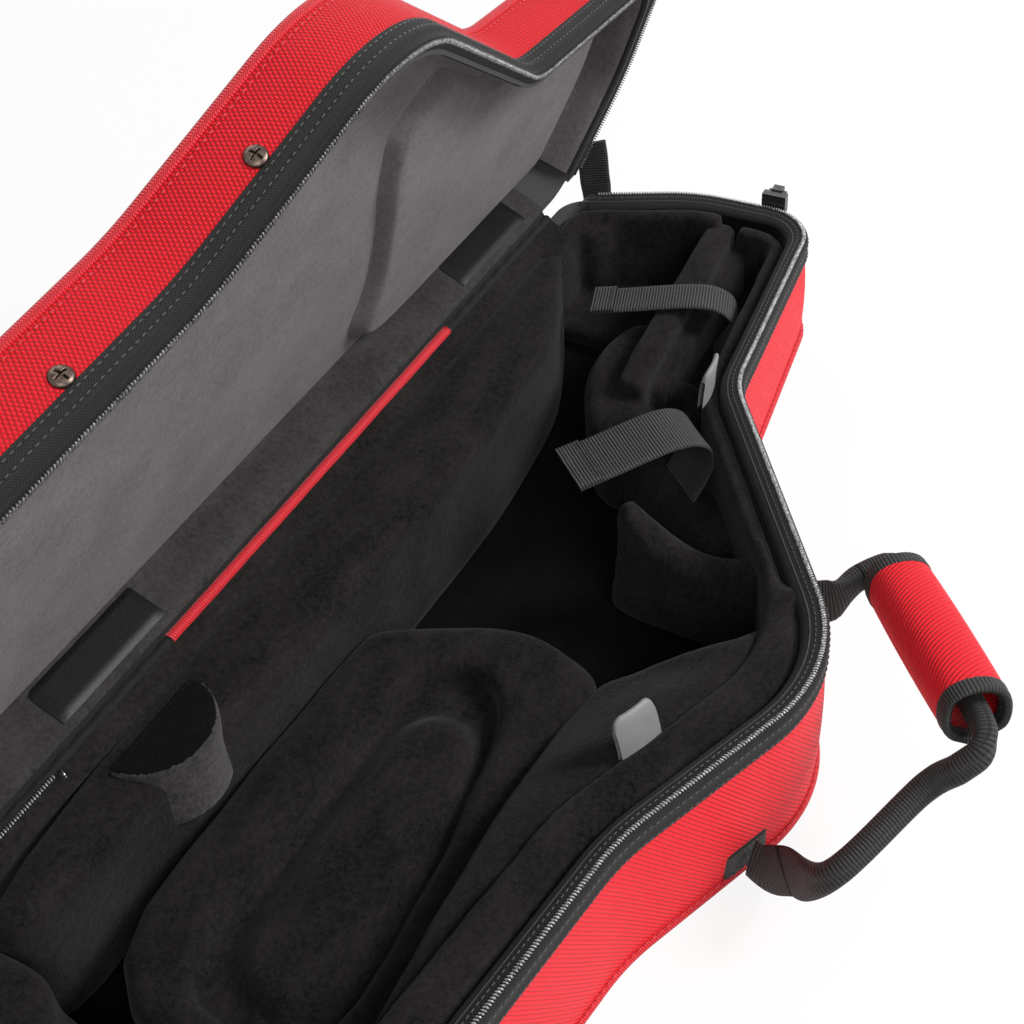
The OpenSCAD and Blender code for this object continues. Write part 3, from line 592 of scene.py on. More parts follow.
def woven_tape(name, dark=(0.005, 0.005, 0.005), light=(0.028, 0.026, 0.025)):
    s = Shader(name, roughness=0.7, sheen=0.04, specular=0.2)
    a = s.ribs(s.place("UV", 45), 0.9, 0.3)
    b = s.ribs(s.place("UV", -45), 0.9, 0.3)
    height = s.math("MULTIPLY", a, b)
    fuzz = s.noise(s.place("UV"), 4, 3)
    color = s.mix(s.span(height, 0.05, 0.6), dark, s.mix(fuzz, light, tuple(0.6 * c for c in light)))
    return s.finish(color, height, 0.25, 0.8)


def metal(name, color, roughness, wear):
    s = Shader(name, roughness=roughness, metallic=1.0)
    at = s.place("Object")
    scuff = s.noise(at, 1.5, 4, 0.7)
    tone = s.mix(s.span(scuff, 0.35, 0.7), tuple(wear * c for c in color), color)
    fine = s.noise(s.place("Object", 0, (1, 1, 6)), 0.4, 2)
    return s.finish(tone, fine, 0.03, 0.5, s.span(scuff, 0.3, 0.75, roughness * 0.8, roughness * 1.4))


def board(name, color):
    s = Shader(name, roughness=0.9)
    at = s.place("Object")
    grain = s.noise(at, 1.6, 4, 0.6)
    return s.finish(s.mix(grain, tuple(0.6 * c for c in color), color), grain, 0.2, 0.5)


def hook_face(name):
    """Hook tape: glossy black with rows of tiny hooks."""
    s = Shader(name, roughness=0.42, specular=0.22)
    at = s.place("Object")
    row = s.ribs(s.place("Object", 0), 1.0, 0.2)
    dot = s.noise(at, 0.8, 2)
    height = s.math("MULTIPLY", row, dot)
    color = s.mix(s.span(dot, 0.4, 0.75), (0.003, 0.003, 0.003), (0.012, 0.011, 0.012))
    return s.finish(color, height, 0.12, 0.5)


def coil(name, dark, light):
    s = Shader(name, roughness=0.28, specular=0.6, metallic=0.3)
    at = s.place("Object")
    tone = s.noise(at, 1.1, 2)
    return s.finish(s.mix(s.span(tone, 0.35, 0.65), dark, light), tone, 0.05, 0.4)


def tab_rubber(name):
    s = Shader(name, roughness=0.5, sheen=0.1, specular=0.4)
    at = s.place("Object")
    weave = s.math("MULTIPLY", s.ribs(s.place("UV", 0), 0.5, 0.1), s.ribs(s.place("UV", 90), 0.5, 0.1))
    tone = s.mix(s.noise(at, 7, 2), (0.17, 0.172, 0.176), (0.235, 0.238, 0.243))
    return s.finish(tone, weave, 0.05, 0.4)


def stitch(name, color):
    s = Shader(name, roughness=0.5, sheen=0.3, specular=0.4)
    twist = s.ribs(s.place("Object", 40), 0.5, 0.2)
    return s.finish(s.mix(twist, tuple(0.5 * c for c in color), color), twist, 0.08, 0.6)


def cord_cover(name):
    """Red piping: cloth wrapped on the bias round a cord."""
    s = Shader(name, roughness=0.55, sheen=0.15, specular=0.4)
    rib = s.ribs(s.place("UV", 12), 1.3, 0.2)
    tone = s.noise(s.place("UV"), 12, 3)
    cloth = s.mix(tone, (0.66, 0.006, 0.018), (0.85, 0.02, 0.035))
    color = s.mix(s.span(rib, 0.1, 0.7), (0.36, 0.0, 0.006), cloth)
    return s.finish(color, rib, 0.35, 0.9)


RED_WALL = red_twill("red_wall_nylon", "UV", 38)
RED_LID = red_basket("red_lid_nylon", "UV")
RED_PANEL = red_twill("red_panel_nylon", "Object", 38)
RED_CORD = cord_cover("red_piping_cloth")
RED_THREAD = stitch("red_thread", (0.80, 0.03, 0.05))
BLACK_THREAD = stitch("black_thread", (0.06, 0.058, 0.058))
TAPE = woven_tape("black_rim_tape")
TAPE_FLAT = woven_tape("black_zip_tape", (0.004, 0.004, 0.004), (0.02, 0.019, 0.02))
PLUSH = plush("black_plush", (0.0016, 0.0014, 0.0014), (0.029, 0.0255, 0.025), 0.5, 0.08)
# A darker copy of the black plush that paints shade: it is used on the wall lining, the floor and the plug's
# top, where the wells lie in shade.
PLUSH_PAINTED_SHADE = plush("painted_shade_black_plush", (0.001, 0.001, 0.001), (0.008, 0.007, 0.007), 0.4, 0.04)
LID_PLUSH = plush("grey_lid_plush", (0.085, 0.074, 0.076), (0.185, 0.163, 0.166), 0.6, 0.15)
FLAP_PLUSH = plush("charcoal_flap_plush", (0.02, 0.018, 0.018), (0.065, 0.06, 0.06), 0.4, 0.3)
WEBBING = ribbed_webbing("black_webbing")
STRAP = ribbed_webbing("strap_webbing", (0.006, 0.006, 0.006), (0.085, 0.083, 0.082), 1.6)
GREY_TAB = tab_rubber("grey_tab_cloth")
HOOK = hook_face("hook_tape")
# The base's zip coil: its light grey stands in partly for highlights on the teeth. The lid's half of the same
# zip gets a darker copy, which paints shade.
COIL = coil("zip_coil_nylon", (0.10, 0.10, 0.10), (0.55, 0.55, 0.55))
LID_COIL_SHADED = coil("lid_zip_coil_shaded_nylon", (0.03, 0.03, 0.03), (0.24, 0.24, 0.24))
STEEL = metal("plain_steel", (0.55, 0.55, 0.56), 0.35, 0.7)
NICKEL = metal("nickel_plate", (0.72, 0.71, 0.69), 0.18, 0.8)
BRONZE = metal("dark_bronze", (0.16, 0.12, 0.10), 0.32, 0.4)
SLIDER = metal("dark_painted_zinc", (0.16, 0.16, 0.17), 0.35, 0.5)
BOARD = board("stiff_board", (0.05, 0.05, 0.05))


def finish_nodes(material, *names):
    for name in names:
        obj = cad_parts[name]
        obj.data.materials.clear()
        obj.data.materials.append(material)


# ---- shells ----

def curve_profile(points, count=14):
    return [tuple(p) for p in spline(points, count)]


def panel(name, z, crown, edge, material, body, nodes, lid=False, up=1):
    """A crowned sheet that fills the outline. It is drawn as rings that shrink to a line along the middle."""
    rings = 16
    spine = np.column_stack([np.clip(RIM_P[:, 0] * 0.8, -235, 250), 26 + 0 * RIM_P[:, 0]])
    edge_p = RIM_P + RIM_N * edge
    rows = []
    for k in range(rings + 1):
        t = k / rings
        p = edge_p * (1 - t) + spine * t
        h = z(p[:, 0]) + up * crown * (1 - (1 - min(1, t * 1.6)) ** 2)
        rows.append(np.column_stack([p, h]))
    co = np.stack(rows, 1).reshape(-1, 3)
    uv = co[:, :2]
    faces = grid_faces(RIM_COUNT, rings + 1, wrap_rows=True)
    if lid:
        co = opened(co)
    return make(name, co, faces, material, body, nodes, uv)


def piping(name, d, z, r, body, nodes, lid=False):
    path = rim_points(ALL_ROUND, d, z)
    across = np.column_stack([RIM_N, np.zeros(RIM_COUNT)])
    ring = circle(r, 10)
    co, faces, uv = sweep(path, across, lambda i, t: ring, closed=True)
    return make(name, opened(co) if lid else co, faces, RED_CORD, body, nodes, uv)


def rim_stitches(name, run, pitch, d, z, out, material, body, lid=False):
    at, way, nrm, up = along_rim(run, pitch, d, z)
    axes = (way, up, nrm) if out else (way, nrm, up)
    return scatter(name, at, axes, STITCH, material, body, lid=lid, template=bead(4, 6))


def zip_coil(name, z, body, nodes, lid=False):
    """A row of coil teeth round the open run."""
    at, way, nrm, up = along_rim(OPEN_RUN[2:-2], ZIP_PITCH, -ZIP_IN, z)
    lean = unit(nrm * 0.9 + way * 0.35)
    # The lid's half takes the darker coil copy, which paints shade.
    return scatter(name, at, (lean, np.cross(up, lean), up), (1.5, 0.42, 0.85), LID_COIL_SHADED if lid else COIL,
                   body, nodes, lid=lid, template=bead(5, 6))


def base_shell():
    low = bottom_at(RIM_P[:, 0])
    t = np.linspace(0, 1, 12)
    wall = [(0.2 + 1.6 * math.sin(math.pi * k) ** 0.7, (low + 3.2) * (1 - k) + TAPE_LOW * k) for k in t]
    band("base_wall", ALL_ROUND, wall, RED_WALL, "base", ["base_wall_cover"], closed=True)
    panel("bottom_panel", lambda x: bottom_at(x) + 0.3, 0.0, -3, RED_PANEL, "base", ["base_bottom_cover"])
    piping("bottom_piping", 0.4, low + 2.4, 2.3, "base", ["base_bottom_piping"])
    rim_stitches("bottom_stitches", ALL_ROUND, 4.2, 2.0, low + 5.6, True, RED_THREAD, "base")
    tape = curve_profile([(0.4, TAPE_LOW - 1.4), (1.5, TAPE_LOW - 0.6), (1.9, TAPE_LOW + 2), (1.6, 80),
                          (1.8, 84),
                          (1.5, 86.6), (0.3, 87.6), (-0.6, 87.6)], 18)
    band("base_tape", OPEN_RUN, tape, TAPE, "base", ["base_rim_tape"])
    rim_stitches("tape_stitches_low", OPEN_RUN, 3.6, 2.0, TAPE_LOW + 1.8, True, BLACK_THREAD, "base")
    rim_stitches("tape_stitches_high", OPEN_RUN, 3.6, 1.9, 84.2, True, BLACK_THREAD, "base")
    zip_coil("base_zip_teeth", 88.5, "base", ["base_zip"])
    ztape = curve_profile([(0.4, 87.2), (-0.8, 87.8), (-3, 87.9), (-6, 87.2), (-9.5, 85.4), (-10.5, 83.5)],
                          12)
    band("base_zip_tape", OPEN_RUN, ztape, TAPE_FLAT, "base")
    rim_stitches("zip_tape_stitches", OPEN_RUN, 3.2, -4.4, 87.9, False, BLACK_THREAD, "base")


def base_lining():
    low = bottom_at(RIM_P[:, 0])
    run = OPEN_RUN
    lining = [(-7.8, 86.3), (-9.6, 85.0), (-10.8, 82.0), (-11.0, 76.0), (-10.6, 60.0), (-10.4, 40.0)]
    profile = lining + [(-10.2, low[run] + 16), (-11.5, low[run] + 9)]
    # The wall lining and the floor take the darker plush copy, which paints the shade in the deep wells.
    band("wall_plush", run, profile, PLUSH_PAINTED_SHADE, "base", ["base_wall_lining"])
    panel("floor_plush", lambda x: bottom_at(x) + FLOOR_TOP + 0.2, 0.0, -9, PLUSH_PAINTED_SHADE, "base",
          ["base_floor_lining"])


def lid_shell():
    body = "lid"
    top, rim = BASE_H + LID_H, BASE_H + 3
    t = np.linspace(0, 1, 12)
    wall = [(0.2 + 1.3 * math.sin(math.pi * k) ** 0.7, (rim + 12) * (1 - k) + (top - 3.4) * k) for k in t]
    band("lid_wall", ALL_ROUND, wall, RED_LID, body, ["lid_wall_cover"], lid=True, closed=True)
    panel("lid_top_panel", lambda x: top - 0.4 + 0 * x, 2.5, -3, RED_PANEL, body, ["lid_top_cover"], lid=True)
    piping("lid_piping", -0.6, np.full(RIM_COUNT, top - 2.2), 2.5, body, ["lid_top_piping"], lid=True)
    rim_stitches("lid_top_stitches", ALL_ROUND, 4.0, 1.1, top - 6.6, True, RED_THREAD, body, lid=True)
    tape = curve_profile([(0.5, rim + 13.2), (1.6, rim + 12.2), (1.9, rim + 9), (1.5, rim + 6.8), (2.2,
                                                                                                   rim + 5.4),
                          (2.0, rim + 4.2), (0.6, rim + 3.1), (0.3, rim), (-0.8, rim - 0.6)], 22)
    band("lid_tape", OPEN_RUN, tape, TAPE, body, ["lid_rim_tape"], lid=True)
    rim_stitches("lid_tape_stitches", OPEN_RUN, 3.6, 2.0, rim + 10.6, True, BLACK_THREAD, body, lid=True)
    rim_stitches("lid_ridge_stitches", OPEN_RUN, 3.6, 1.9, rim + 6.4, True, BLACK_THREAD, body, lid=True)
    zip_coil("lid_zip_teeth", BASE_H + 1.5, body, ["lid_zip"], lid=True)
    ztape = curve_profile([(0.6, rim - 0.2), (-1, rim - 0.9), (-3, rim - 0.9), (-6, rim + 0.6), (-8,
                                                                                                 rim + 3)],
                          10)
    band("lid_zip_tape", OPEN_RUN, ztape, TAPE_FLAT, body, lid=True)
    lining = curve_profile([(-6.2, rim + 1.5), (-8.4, rim + 4), (-9.6, rim + 9), (-10.4, rim + 18),
                            (-13, BASE_H + LID_DEPTH - 1.5), (-17, BASE_H + LID_DEPTH)], 14)
    band("lid_wall_plush", OPEN_RUN, lining, LID_PLUSH, body, ["lid_wall_lining"], lid=True)
    obj = panel("lid_panel_plush", lambda x: BASE_H + LID_DEPTH + 0.6 + 0 * x, 1.6, -8, LID_PLUSH, body,
                ["lid_panel_pad"], lid=True, up=-1)


def lid_soft():
    deep = BASE_H + LID_DEPTH

    def neck(x, y, z):
        edge = [(60, -60), (66, -2), (74, 20), (78, 46), (80, 70), (72, 96), (84, 112), (110, 121), (200,
                                                                                                     122),
                (330, 122), (330, -60)]
        d2 = smooth_max(plan(x, y, edge), case_distance(x, y) + 12, 8)
        lift = 9.5 * smoothstep(-d2 / 11)
        return np.maximum(deep + 1.0 - lift - z, np.maximum(z - deep - 2, d2))

    pad("lid_neck_pad_plush", (50, -60, deep - 10), (322, 126, deep + 2), neck, LID_PLUSH, ["lid_neck_pad"],
        2.2,
        "lid", lid=True, uneven=0.25, rounds=4)


def hinge_strips():
    """Cloth along the hinge: the lid's flap, the strip by the piping and the piping itself."""
    low, high = box_mm("hinge_piping")
    x = np.linspace(low[0], high[0], 150)
    wob = 0.35 * np.sin(x * 0.11) + 0.25 * np.sin(x * 0.37)

    def strip_along(name, profile, material, body, nodes=(), lid=True):
        rows = []
        for k, (y, z) in enumerate(profile):
            w = wob * math.sin(math.pi * k / (len(profile) - 1))
            rows.append(np.column_stack([x, y + w * 0.6, z + w]))
        co = np.stack(rows, 1)
        v = np.concatenate([[0], np.cumsum([math.dist(a, b) for a, b in zip(profile, profile[1:])])])
        uv = np.stack([np.broadcast_to(x[:, None], co.shape[:2]), np.broadcast_to(v, co.shape[:2])], -1)
        co = co.reshape(-1, 3)
        return make(name, opened(co) if lid else co, grid_faces(len(x), len(profile)), material, body, nodes,
                    uv.reshape(-1, 2))

    flap = curve_profile([(118, 119.2), (119.5, 117.5), (120.6, 112), (121.2, 104), (122, 97.5), (124,
                                                                                                  93.8)], 16)
    strip_along("lid_flap_plush", flap, FLAP_PLUSH, "lid", ["lid_hinge_flap"])
    strip_along("hinge_cloth_lid", curve_profile([(122, 98), (124, 94.6), (126, 92.6), (127.4, 91.5)], 6),
                TAPE_FLAT,
                "lid")
    strip_along("hinge_cloth_base", curve_profile([(117, 84), (120.5, 87), (123.5, 89), (125.5, 90.4),
                                                   (126.5, 90.5)],
                                                  10), PLUSH, "base", lid=False)
    red_from, red_to = -104, 141
    for name, a, b, r, mat in (("hinge_cord", red_from, red_to, 3.0, RED_CORD),
                               ("hinge_sleeve_bow", low[0], red_from, 2.8, TAPE_FLAT),
                               ("hinge_sleeve_far", red_to, high[0], 2.8, TAPE_FLAT)):
        n = max(8, int((b - a) / 2.5))
        path = np.column_stack([np.linspace(a, b, n), np.full(n, AXIS_Y), np.full(n, BASE_H)])
        if mat is TAPE_FLAT:
            path[:, 2] += 0.4 * np.sin(path[:, 0] * 0.45) - 0.4
        ring = circle(r, 14)
        co, faces, uv = sweep(path, (0, 1, 0), lambda i, t: ring)
        make(name, co, faces, mat, "base", ["hinge_piping"] if mat is RED_CORD else (), uv)


def hook_patches():
    for name in ("hook_patch_far", "hook_patch_bow"):
        low, high = box_mm(name)
        x0, x1 = low[0], high[0]
        n, m = 24, 10
        u, v = np.meshgrid(np.linspace(0, 1, n), np.linspace(0, 1, m), indexing="ij")
        edge = np.minimum(np.minimum(u, 1 - u) * (x1 - x0), np.minimum(v, 1 - v) * 22)
        puff = 1.1 * np.clip(edge / 1.2, 0, 1) ** 0.5 - 0.35 * (v > 0.9)
        y = 119.6 - puff + 1.6 * (1 - v)
        co = np.stack([x0 + (x1 - x0) * u, y, 97.5 + 21.5 * v], -1).reshape(-1, 3)
        make(name + "_tape", opened(co), grid_faces(n, m), HOOK, "lid", [name],
             np.stack([u * 70, v * 22], -1).reshape(-1, 2))


def lid_screws():
    """Pan-head screws with a cross recess."""
    for name, side, x in (("lid_screw_bow", 5, -166), ("lid_screw_bell", 4, -62)):
        at, out = on_side(side, x)
        out = np.append(out, 0)
        along, up = np.array([out[1], -out[0], 0]), UP
        rings, sides, r = 22, 64, 4.6
        f, a = np.meshgrid(np.arange(rings + 1) / rings, 2 * math.pi * np.arange(sides) / sides,
                           indexing="ij")
        u, v = r * f * np.cos(a), r * f * np.sin(a)
        cross = np.clip((0.62 - np.minimum(np.abs(u), np.abs(v))) / 0.25, 0, 1)
        reach = np.clip((2.9 - np.hypot(u, v)) / 0.5, 0, 1)
        h = 1.3 + 1.8 * np.sqrt(np.maximum(0, 1 - f ** 2.6)) - 1.5 * cross * reach
        centre = np.append(at, BASE_H + SCREW_DEPTH)
        co = centre + (h[..., None] * out + u[..., None] * along + v[..., None] * up)
        co = np.concatenate([co, co[-1:] - out * 2.2]).reshape(-1, 3)
        make(name + "_head", opened(co), grid_faces(rings + 2, sides, wrap_cols=True), BRONZE, "lid",
             [name], None)


# ---- padding in the base ----

def bolster():
    inner = [(-252, 90), (-176, 92), (-122, 81), (-51, 78), (20, 76), (84, 75), (122, 78), (159, 80), (180,
                                                                                                       84),
             (204, 93), (226, 104), (244, 114), (262, 121), (262, 124), (-252, 124)]

    def field(x, y, z):
        d2 = smooth_max(plan(x, y, inner, 2), case_distance(x, y) + 9.6, 3)
        top = np.interp(y, [74, 92, 110, 124], [79, 82.5, 84, 84.5])
        return rounded(d2, np.maximum(FLOOR_TOP + bottom_at(x) - z, z - top), 9)

    pad("bolster_plush", (-254, 70, 6), (266, 125, 90), field, PLUSH, ["hinge_side_bolster"], uneven=0.35)


def far_pad():
    def field(x, y, z):
        edge = case_distance(x, y)
        ring = np.maximum(edge + 9.8, -(edge + 19))
        ring = np.maximum(ring, np.maximum(41 - y, 228 - x))
        wall = rounded(ring, np.maximum(20 - z, z - 85), 4)
        fold_a = np.hypot((x - 283 + (z - 60) * 0.10) / 1.25, y - 111) - 12.5
        fold_b = np.hypot(x - 304, (y - 96) / 0.8) - 8.5
        folds = np.minimum(fold_a, fold_b)
        folds = rounded(smooth_max(folds, edge + 9.8, 2), np.maximum(20 - z, z - 84 + 0.1 * (310 - x)), 5)
        floor = rounded(np.maximum(edge + 9.8, np.maximum(41 - y, 236 - x)), np.maximum(20 - z, z - 33), 5)
        return smooth_min(smooth_min(wall, folds, 5), floor, 6)

    pad("far_pad_plush", (226, 38, 18), (318, 126, 88), field, PLUSH, ["far_end_pad"], 2.2)


def rail():
    def field(x, y, z):
        t = np.clip((x - 165) / (306 - 165), 0, 1)
        mid = 31 + 10 * t
        across = np.abs(y - mid)
        end = 150 - x
        top = 76 + 4 * t - 3 * smoothstep((190 - x) / 30)
        bar = rounded(smooth_max(across - 8.5, np.maximum(end + 10, case_distance(x, y) + 10), 5),
                      np.maximum(12 - z, z - top), 5)
        step = rounded(smooth_max(np.abs(y - mid + 11) - 6, np.maximum(172 - x, case_distance(x, y) + 10), 5),
                       np.maximum(12 - z, z - top + 12), 4)
        isle = [(226, 44), (222, 57), (206, 63), (190, 64), (168, 61), (146, 50), (128, 36), (122, 20),
                (134, 8),
                (160, 24), (200, 34)]
        low = rounded(plan(x, y, isle, 2), np.maximum(12 - z, z - 61 - 3 * smoothstep((x - 150) / 40)), 8)
        return smooth_min(smooth_min(bar, step, 3), low, 4)

    pad("rail_plush", (118, 0, 10), (318, 70, 84), field, PLUSH, ["neck_rail"], 2.2, rounds=1)


def channel():
    def field(x, y, z):
        edge = case_distance(x, y)
        lane = np.maximum(edge + 20, np.maximum(y - 30, 150 - x))
        floor = rounded(lane, np.maximum(12 - z, z - 43), 4)
        bridge = np.hypot(x - 163, y - 12)
        arch = np.abs(bridge - 20) - 7
        arch = smooth_max(arch, np.maximum(164 - x, y - 27), 3)
        cup = rounded(smooth_max(arch, edge + 20, 3), np.maximum(12 - z, z - 61 + 0.12 * np.abs(y - 14)), 5)
        slope = rounded(np.maximum(edge + 20, np.maximum(np.hypot(x - 150, y - 10) - 26, x - 168)),
                        np.maximum(12 - z, z - 46 - 0.25 * (x - 140)), 6)
        return smooth_min(smooth_min(floor, cup, 5), slope, 4)

    pad("channel_plush", (118, -20, 10), (308, 34, 66), field, PLUSH, ["neck_channel_pad"], 2.2, rounds=1)


def side_pad():
    def field(x, y, z):
        edge = case_distance(x, y)
        wide = 9 + 14 * smoothstep((60 - x) / 70)
        ring = smooth_max(edge + 11.0, -(edge + 11.0 + wide), 2)
        ring = np.maximum(ring, np.maximum(y - 30, -248 - x))
        top = 83 - 1.5 * smoothstep((x - 60) / 60)
        fold = (np.sqrt(((x - 43) / 13) ** 2 + ((y + 106) / 11) ** 2 + ((z - 56) / 30) ** 2) - 1) * 11
        return smooth_min(rounded(ring, np.maximum(12 - z, z - top), 5), fold, 5)

    pad("side_pad_plush", (-252, -134, 10), (316, 32, 86), field, PLUSH, ["handle_side_pad"], 2.5)


def block():
    crest = [(66, -6), (76, -12), (85, -28), (86, -50), (82, -78), (74, -98), (52, -128), (16, -132), (16,
                                                                                                       -118),
             (34, -110), (49, -98), (57, -84), (61, -62), (61, -34), (62, -16)]

    def field(x, y, z):
        d2 = smooth_max(plan(x, y, crest, 2), case_distance(x, y) + 13, 3)
        d2 = d2 - 0.08 * np.clip(70 - z, 0, 60) * (x < 66)
        top = np.minimum(60 + 21 * ((y + 51) / 36.0) ** 2, 82.5)
        top = top - 0.9 * np.clip(x - 72, 0, 60) - 0.9 * np.clip(58 - x, 0, 60) * (y > -95)
        return rounded(d2, np.maximum(10 - z, z - top), 9)

    pad("block_plush", (8, -136, 8), (94, 0, 86), field, PLUSH, ["pointed_block"], 2.0, rounds=1, uneven=0.4)


def trough():
    def field(x, y, z):
        a, b = np.array([134.0, 4.0]), np.array([101.0, -52.0])
        ab = b - a
        t = np.clip(((x - a[0]) * ab[0] + (y - a[1]) * ab[1]) / (ab @ ab), 0, 1)
        d2 = np.hypot(x - a[0] - ab[0] * t, y - a[1] - ab[1] * t) - 16
        lane = rounded(d2, np.maximum(10 - z, z - 45 - 3 * t), 6)
        lip = np.hypot(x - 103, y + 60) - 15
        lip = rounded(smooth_max(lip, case_distance(x, y) + 24, 2), np.maximum(10 - z, z - 54), 8)
        return smooth_min(lane, lip, 9)

    pad("trough_plush", (78, -82, 8), (152, 24, 60), field, PLUSH, ["trough_pad"], 2.2)


def ridge():
    edge_line = [(-13, -37), (-5, -44), (3, -54), (8, -66), (11, -80), (15, -92), (34, -101), (46, -108),
                 (30, -122), (0, -134), (-40, -124), (-90, -100), (-140, -88), (-250, -74), (-250, -48),
                 (-150, -40),
                 (-80, -36), (-40, -34)]

    def field(x, y, z):
        edge = case_distance(x, y)
        d2 = smooth_max(plan(x, y, edge_line, 2), edge + 26, 3)
        top = 79 - 30 * smoothstep((-edge - 34) / 62) - 3 * smoothstep((-30 - x) / 200)
        return rounded(d2, np.maximum(10 - z, z - top), 2.5 + 4 * smoothstep((x + 20) / 15))

    pad("ridge_plush", (-252, -138, 8), (50, -30, 84), field, PLUSH, ["bell_ridge"], 2.4)


def cradle():
    rim = [(-250, -50), (-250, 80), (-120, 81), (-60, 79), (-36, 78), (-27, 75), (-12, 48), (0, 24), (5, 2),
           (-2, -22), (-14, -38), (-40, -48), (-90, -52)]
    hollow = [(-200, 46), (-120, 46), (-70, 45), (-44, 40), (-30, 26), (-32, 8), (-48, -5), (-90, -14),
              (-150, -22),
              (-230, -24), (-230, 40)]
    island = [(-215, 36), (-120, 35), (-72, 34), (-58, 25), (-57, 8), (-68, -4), (-120, -13), (-215, -21)]

    def field(x, y, z):
        edge = case_distance(x, y)
        d2 = smooth_max(plan(x, y, rim, 2), edge + 26, 3)
        edge_r = 2.5 + 6.5 * smoothstep((y + 38) / 25)
        body = rounded(d2, np.maximum(9 - z, z - 51 + 2 * smoothstep((x + 20) / 30)), edge_r)
        dent = rounded(plan(x, y, hollow, 2), 37 - z, 4)
        carved = smooth_max(body, -dent, 9)
        isle = rounded(plan(x, y, island, 2), np.maximum(9 - z, z - 47 - 2 * smoothstep((18 - y) / 30)), 9)
        return smooth_min(carved, isle, 10)

    pad("cradle_plush", (-252, -60, 8), (10, 84, 54), field, PLUSH, ["body_cradle"], 2.4, rounds=3)


def plug():
    cx, cy, r = -143, 110, 29

    def field(x, y, z):
        d2 = smooth_max(np.hypot(x - cx, y - cy) - r - 0.03 * (86 - z), y - cy + 0.5, 1.5)
        return rounded(d2, np.maximum(50 - z, z - 86.5), 1.6)

    # The plug's sides take a lighter copy of the plush that paints light on the side facing the lamp. Its top
    # takes the darker copy, which paints shade.
    side = plush("plug_painted_lit_plush", (0.012, 0.011, 0.011), (0.10, 0.092, 0.091), 0.6, 0.15)
    obj = pad("plug_plush_side", (-176, 76, 49), (-110, 111, 88), field, side, ["half_round_plug"], 1.6,
              uneven=0.15,
              rounds=1)
    obj.data.materials.append(PLUSH_PAINTED_SHADE)
    # Faces that look up get the painted-shade plush.
    for face in obj.data.polygons:
        if face.normal.z > 0.75:
            face.material_index = 1


def bow_pad():
    def field(x, y, z):
        edge = case_distance(x, y)
        hollow = np.hypot(x + 246, (y - 20) / 1.9) - 30
        body = rounded(smooth_max(edge + 10.5, x + 252, 3), np.maximum(9 - z,
                                                                       z - 78 + 0.05 * np.abs(y - 30)), 9)
        return smooth_max(body, -rounded(hollow, 40 - z, 8), 8)

    pad("bow_pad_plush", (-316, -80, 8), (-248, 126, 82), field, PLUSH, ["bow_end_pad"], 2.5)


def pull_tab(node, side_no, lean):
    """A strip folded double that stands on the padding. lean is how far its top leans into the case."""
    low, high = box_mm(node)
    out = np.append(on_side(side_no, 0)[1], 0)
    along = np.array([out[1], -out[0], 0])
    half, r, h = 11.0, 5.0, high[2] - low[2]
    rows, uv = [], []
    for x in np.linspace(-half, half, 33):
        tall = h - r + math.sqrt(max(0.0, r * r - max(0.0, abs(x) - half + r) ** 2))
        path = [(1.3, -1.5), (1.3, tall * 0.5), (1.2, tall - 1.2), (0, tall), (-1.2, tall - 1.2),
                (-1.3, tall * 0.5), (-1.3, -1.5)]
        for k, (b, c) in enumerate(spline(path, 40)):
            inwards = b + lean * max(0.0, c / h) ** 1.4 - 1.2 * (1 - (x / half) ** 2)
            rows.append(along * x - out * inwards + [0, 0, c])
            uv.append((x, k * 1.2))
    foot = np.array([(low[0] + high[0]) / 2, (low[1] + high[1]) / 2, low[2]])
    make(node + "_cloth", np.array(rows) + foot, grid_faces(33, 40), GREY_TAB, "base", [node], uv)


# ---- straps ----

STRAPS = {"neck": ((236, 13, 42.6), 19, 22, 68), "mouth": ((128, -15, 45.6), 50, 32, 62)}


def inner_strap(kind):
    root, turn, w, reach = STRAPS[kind]
    a = math.radians(turn)
    across, ahead = np.array([math.cos(a), math.sin(a), 0]), np.array([-math.sin(a), math.cos(a), 0])

    def place(points):
        return np.array([np.array(root) + ahead * p + np.array([0, 0, q]) for p, q in points])

    riser = place([(1.5, 0.5), (-2.5, 7), (-7, 15), (-9.3, 22), (-9, 28)])
    ribbon(kind + "_strap_riser", riser, across, w, 1.5, STRAP, "base", [kind + "_strap_root"], 30)
    flap = place([(-9.2, 26.6), (-7, 32.4), (-1.5, 37), (6, 39.2), (16, 39.2), (reach * 0.45, 37.6),
                  (reach * 0.7, 35.2),
                  (reach * 0.86, 33.8), (reach, 32.4)])
    ribbon(kind + "_strap_flap", flap, across, w, 1.5, STRAP, kind + "_strap", [kind + "_strap"], 60)
    end = place([(reach - 12, 35.6), (reach - 6, 34.9), (reach + 0.6, 34.0)])
    ribbon(kind + "_strap_end", end, across, w + 0.4, 1.2, STRAP, kind + "_strap", (), 12)
    for row in (2.0, 10.5):
        n = int(w / 2.2)
        base = place([(reach - row, 35.0 + (row - 2) * 0.08)])[0]
        at = np.array([base + across * (k - (n - 1) / 2) * 2.0 + UP for k in range(n)])
        axes = same_axes(n, across, ahead, UP)
        scatter("%s_strap_stitch_%d" % (kind, row), at, axes, (0.75, 0.25, 0.25), BLACK_THREAD,
                kind + "_strap",
                template=bead(4, 6))


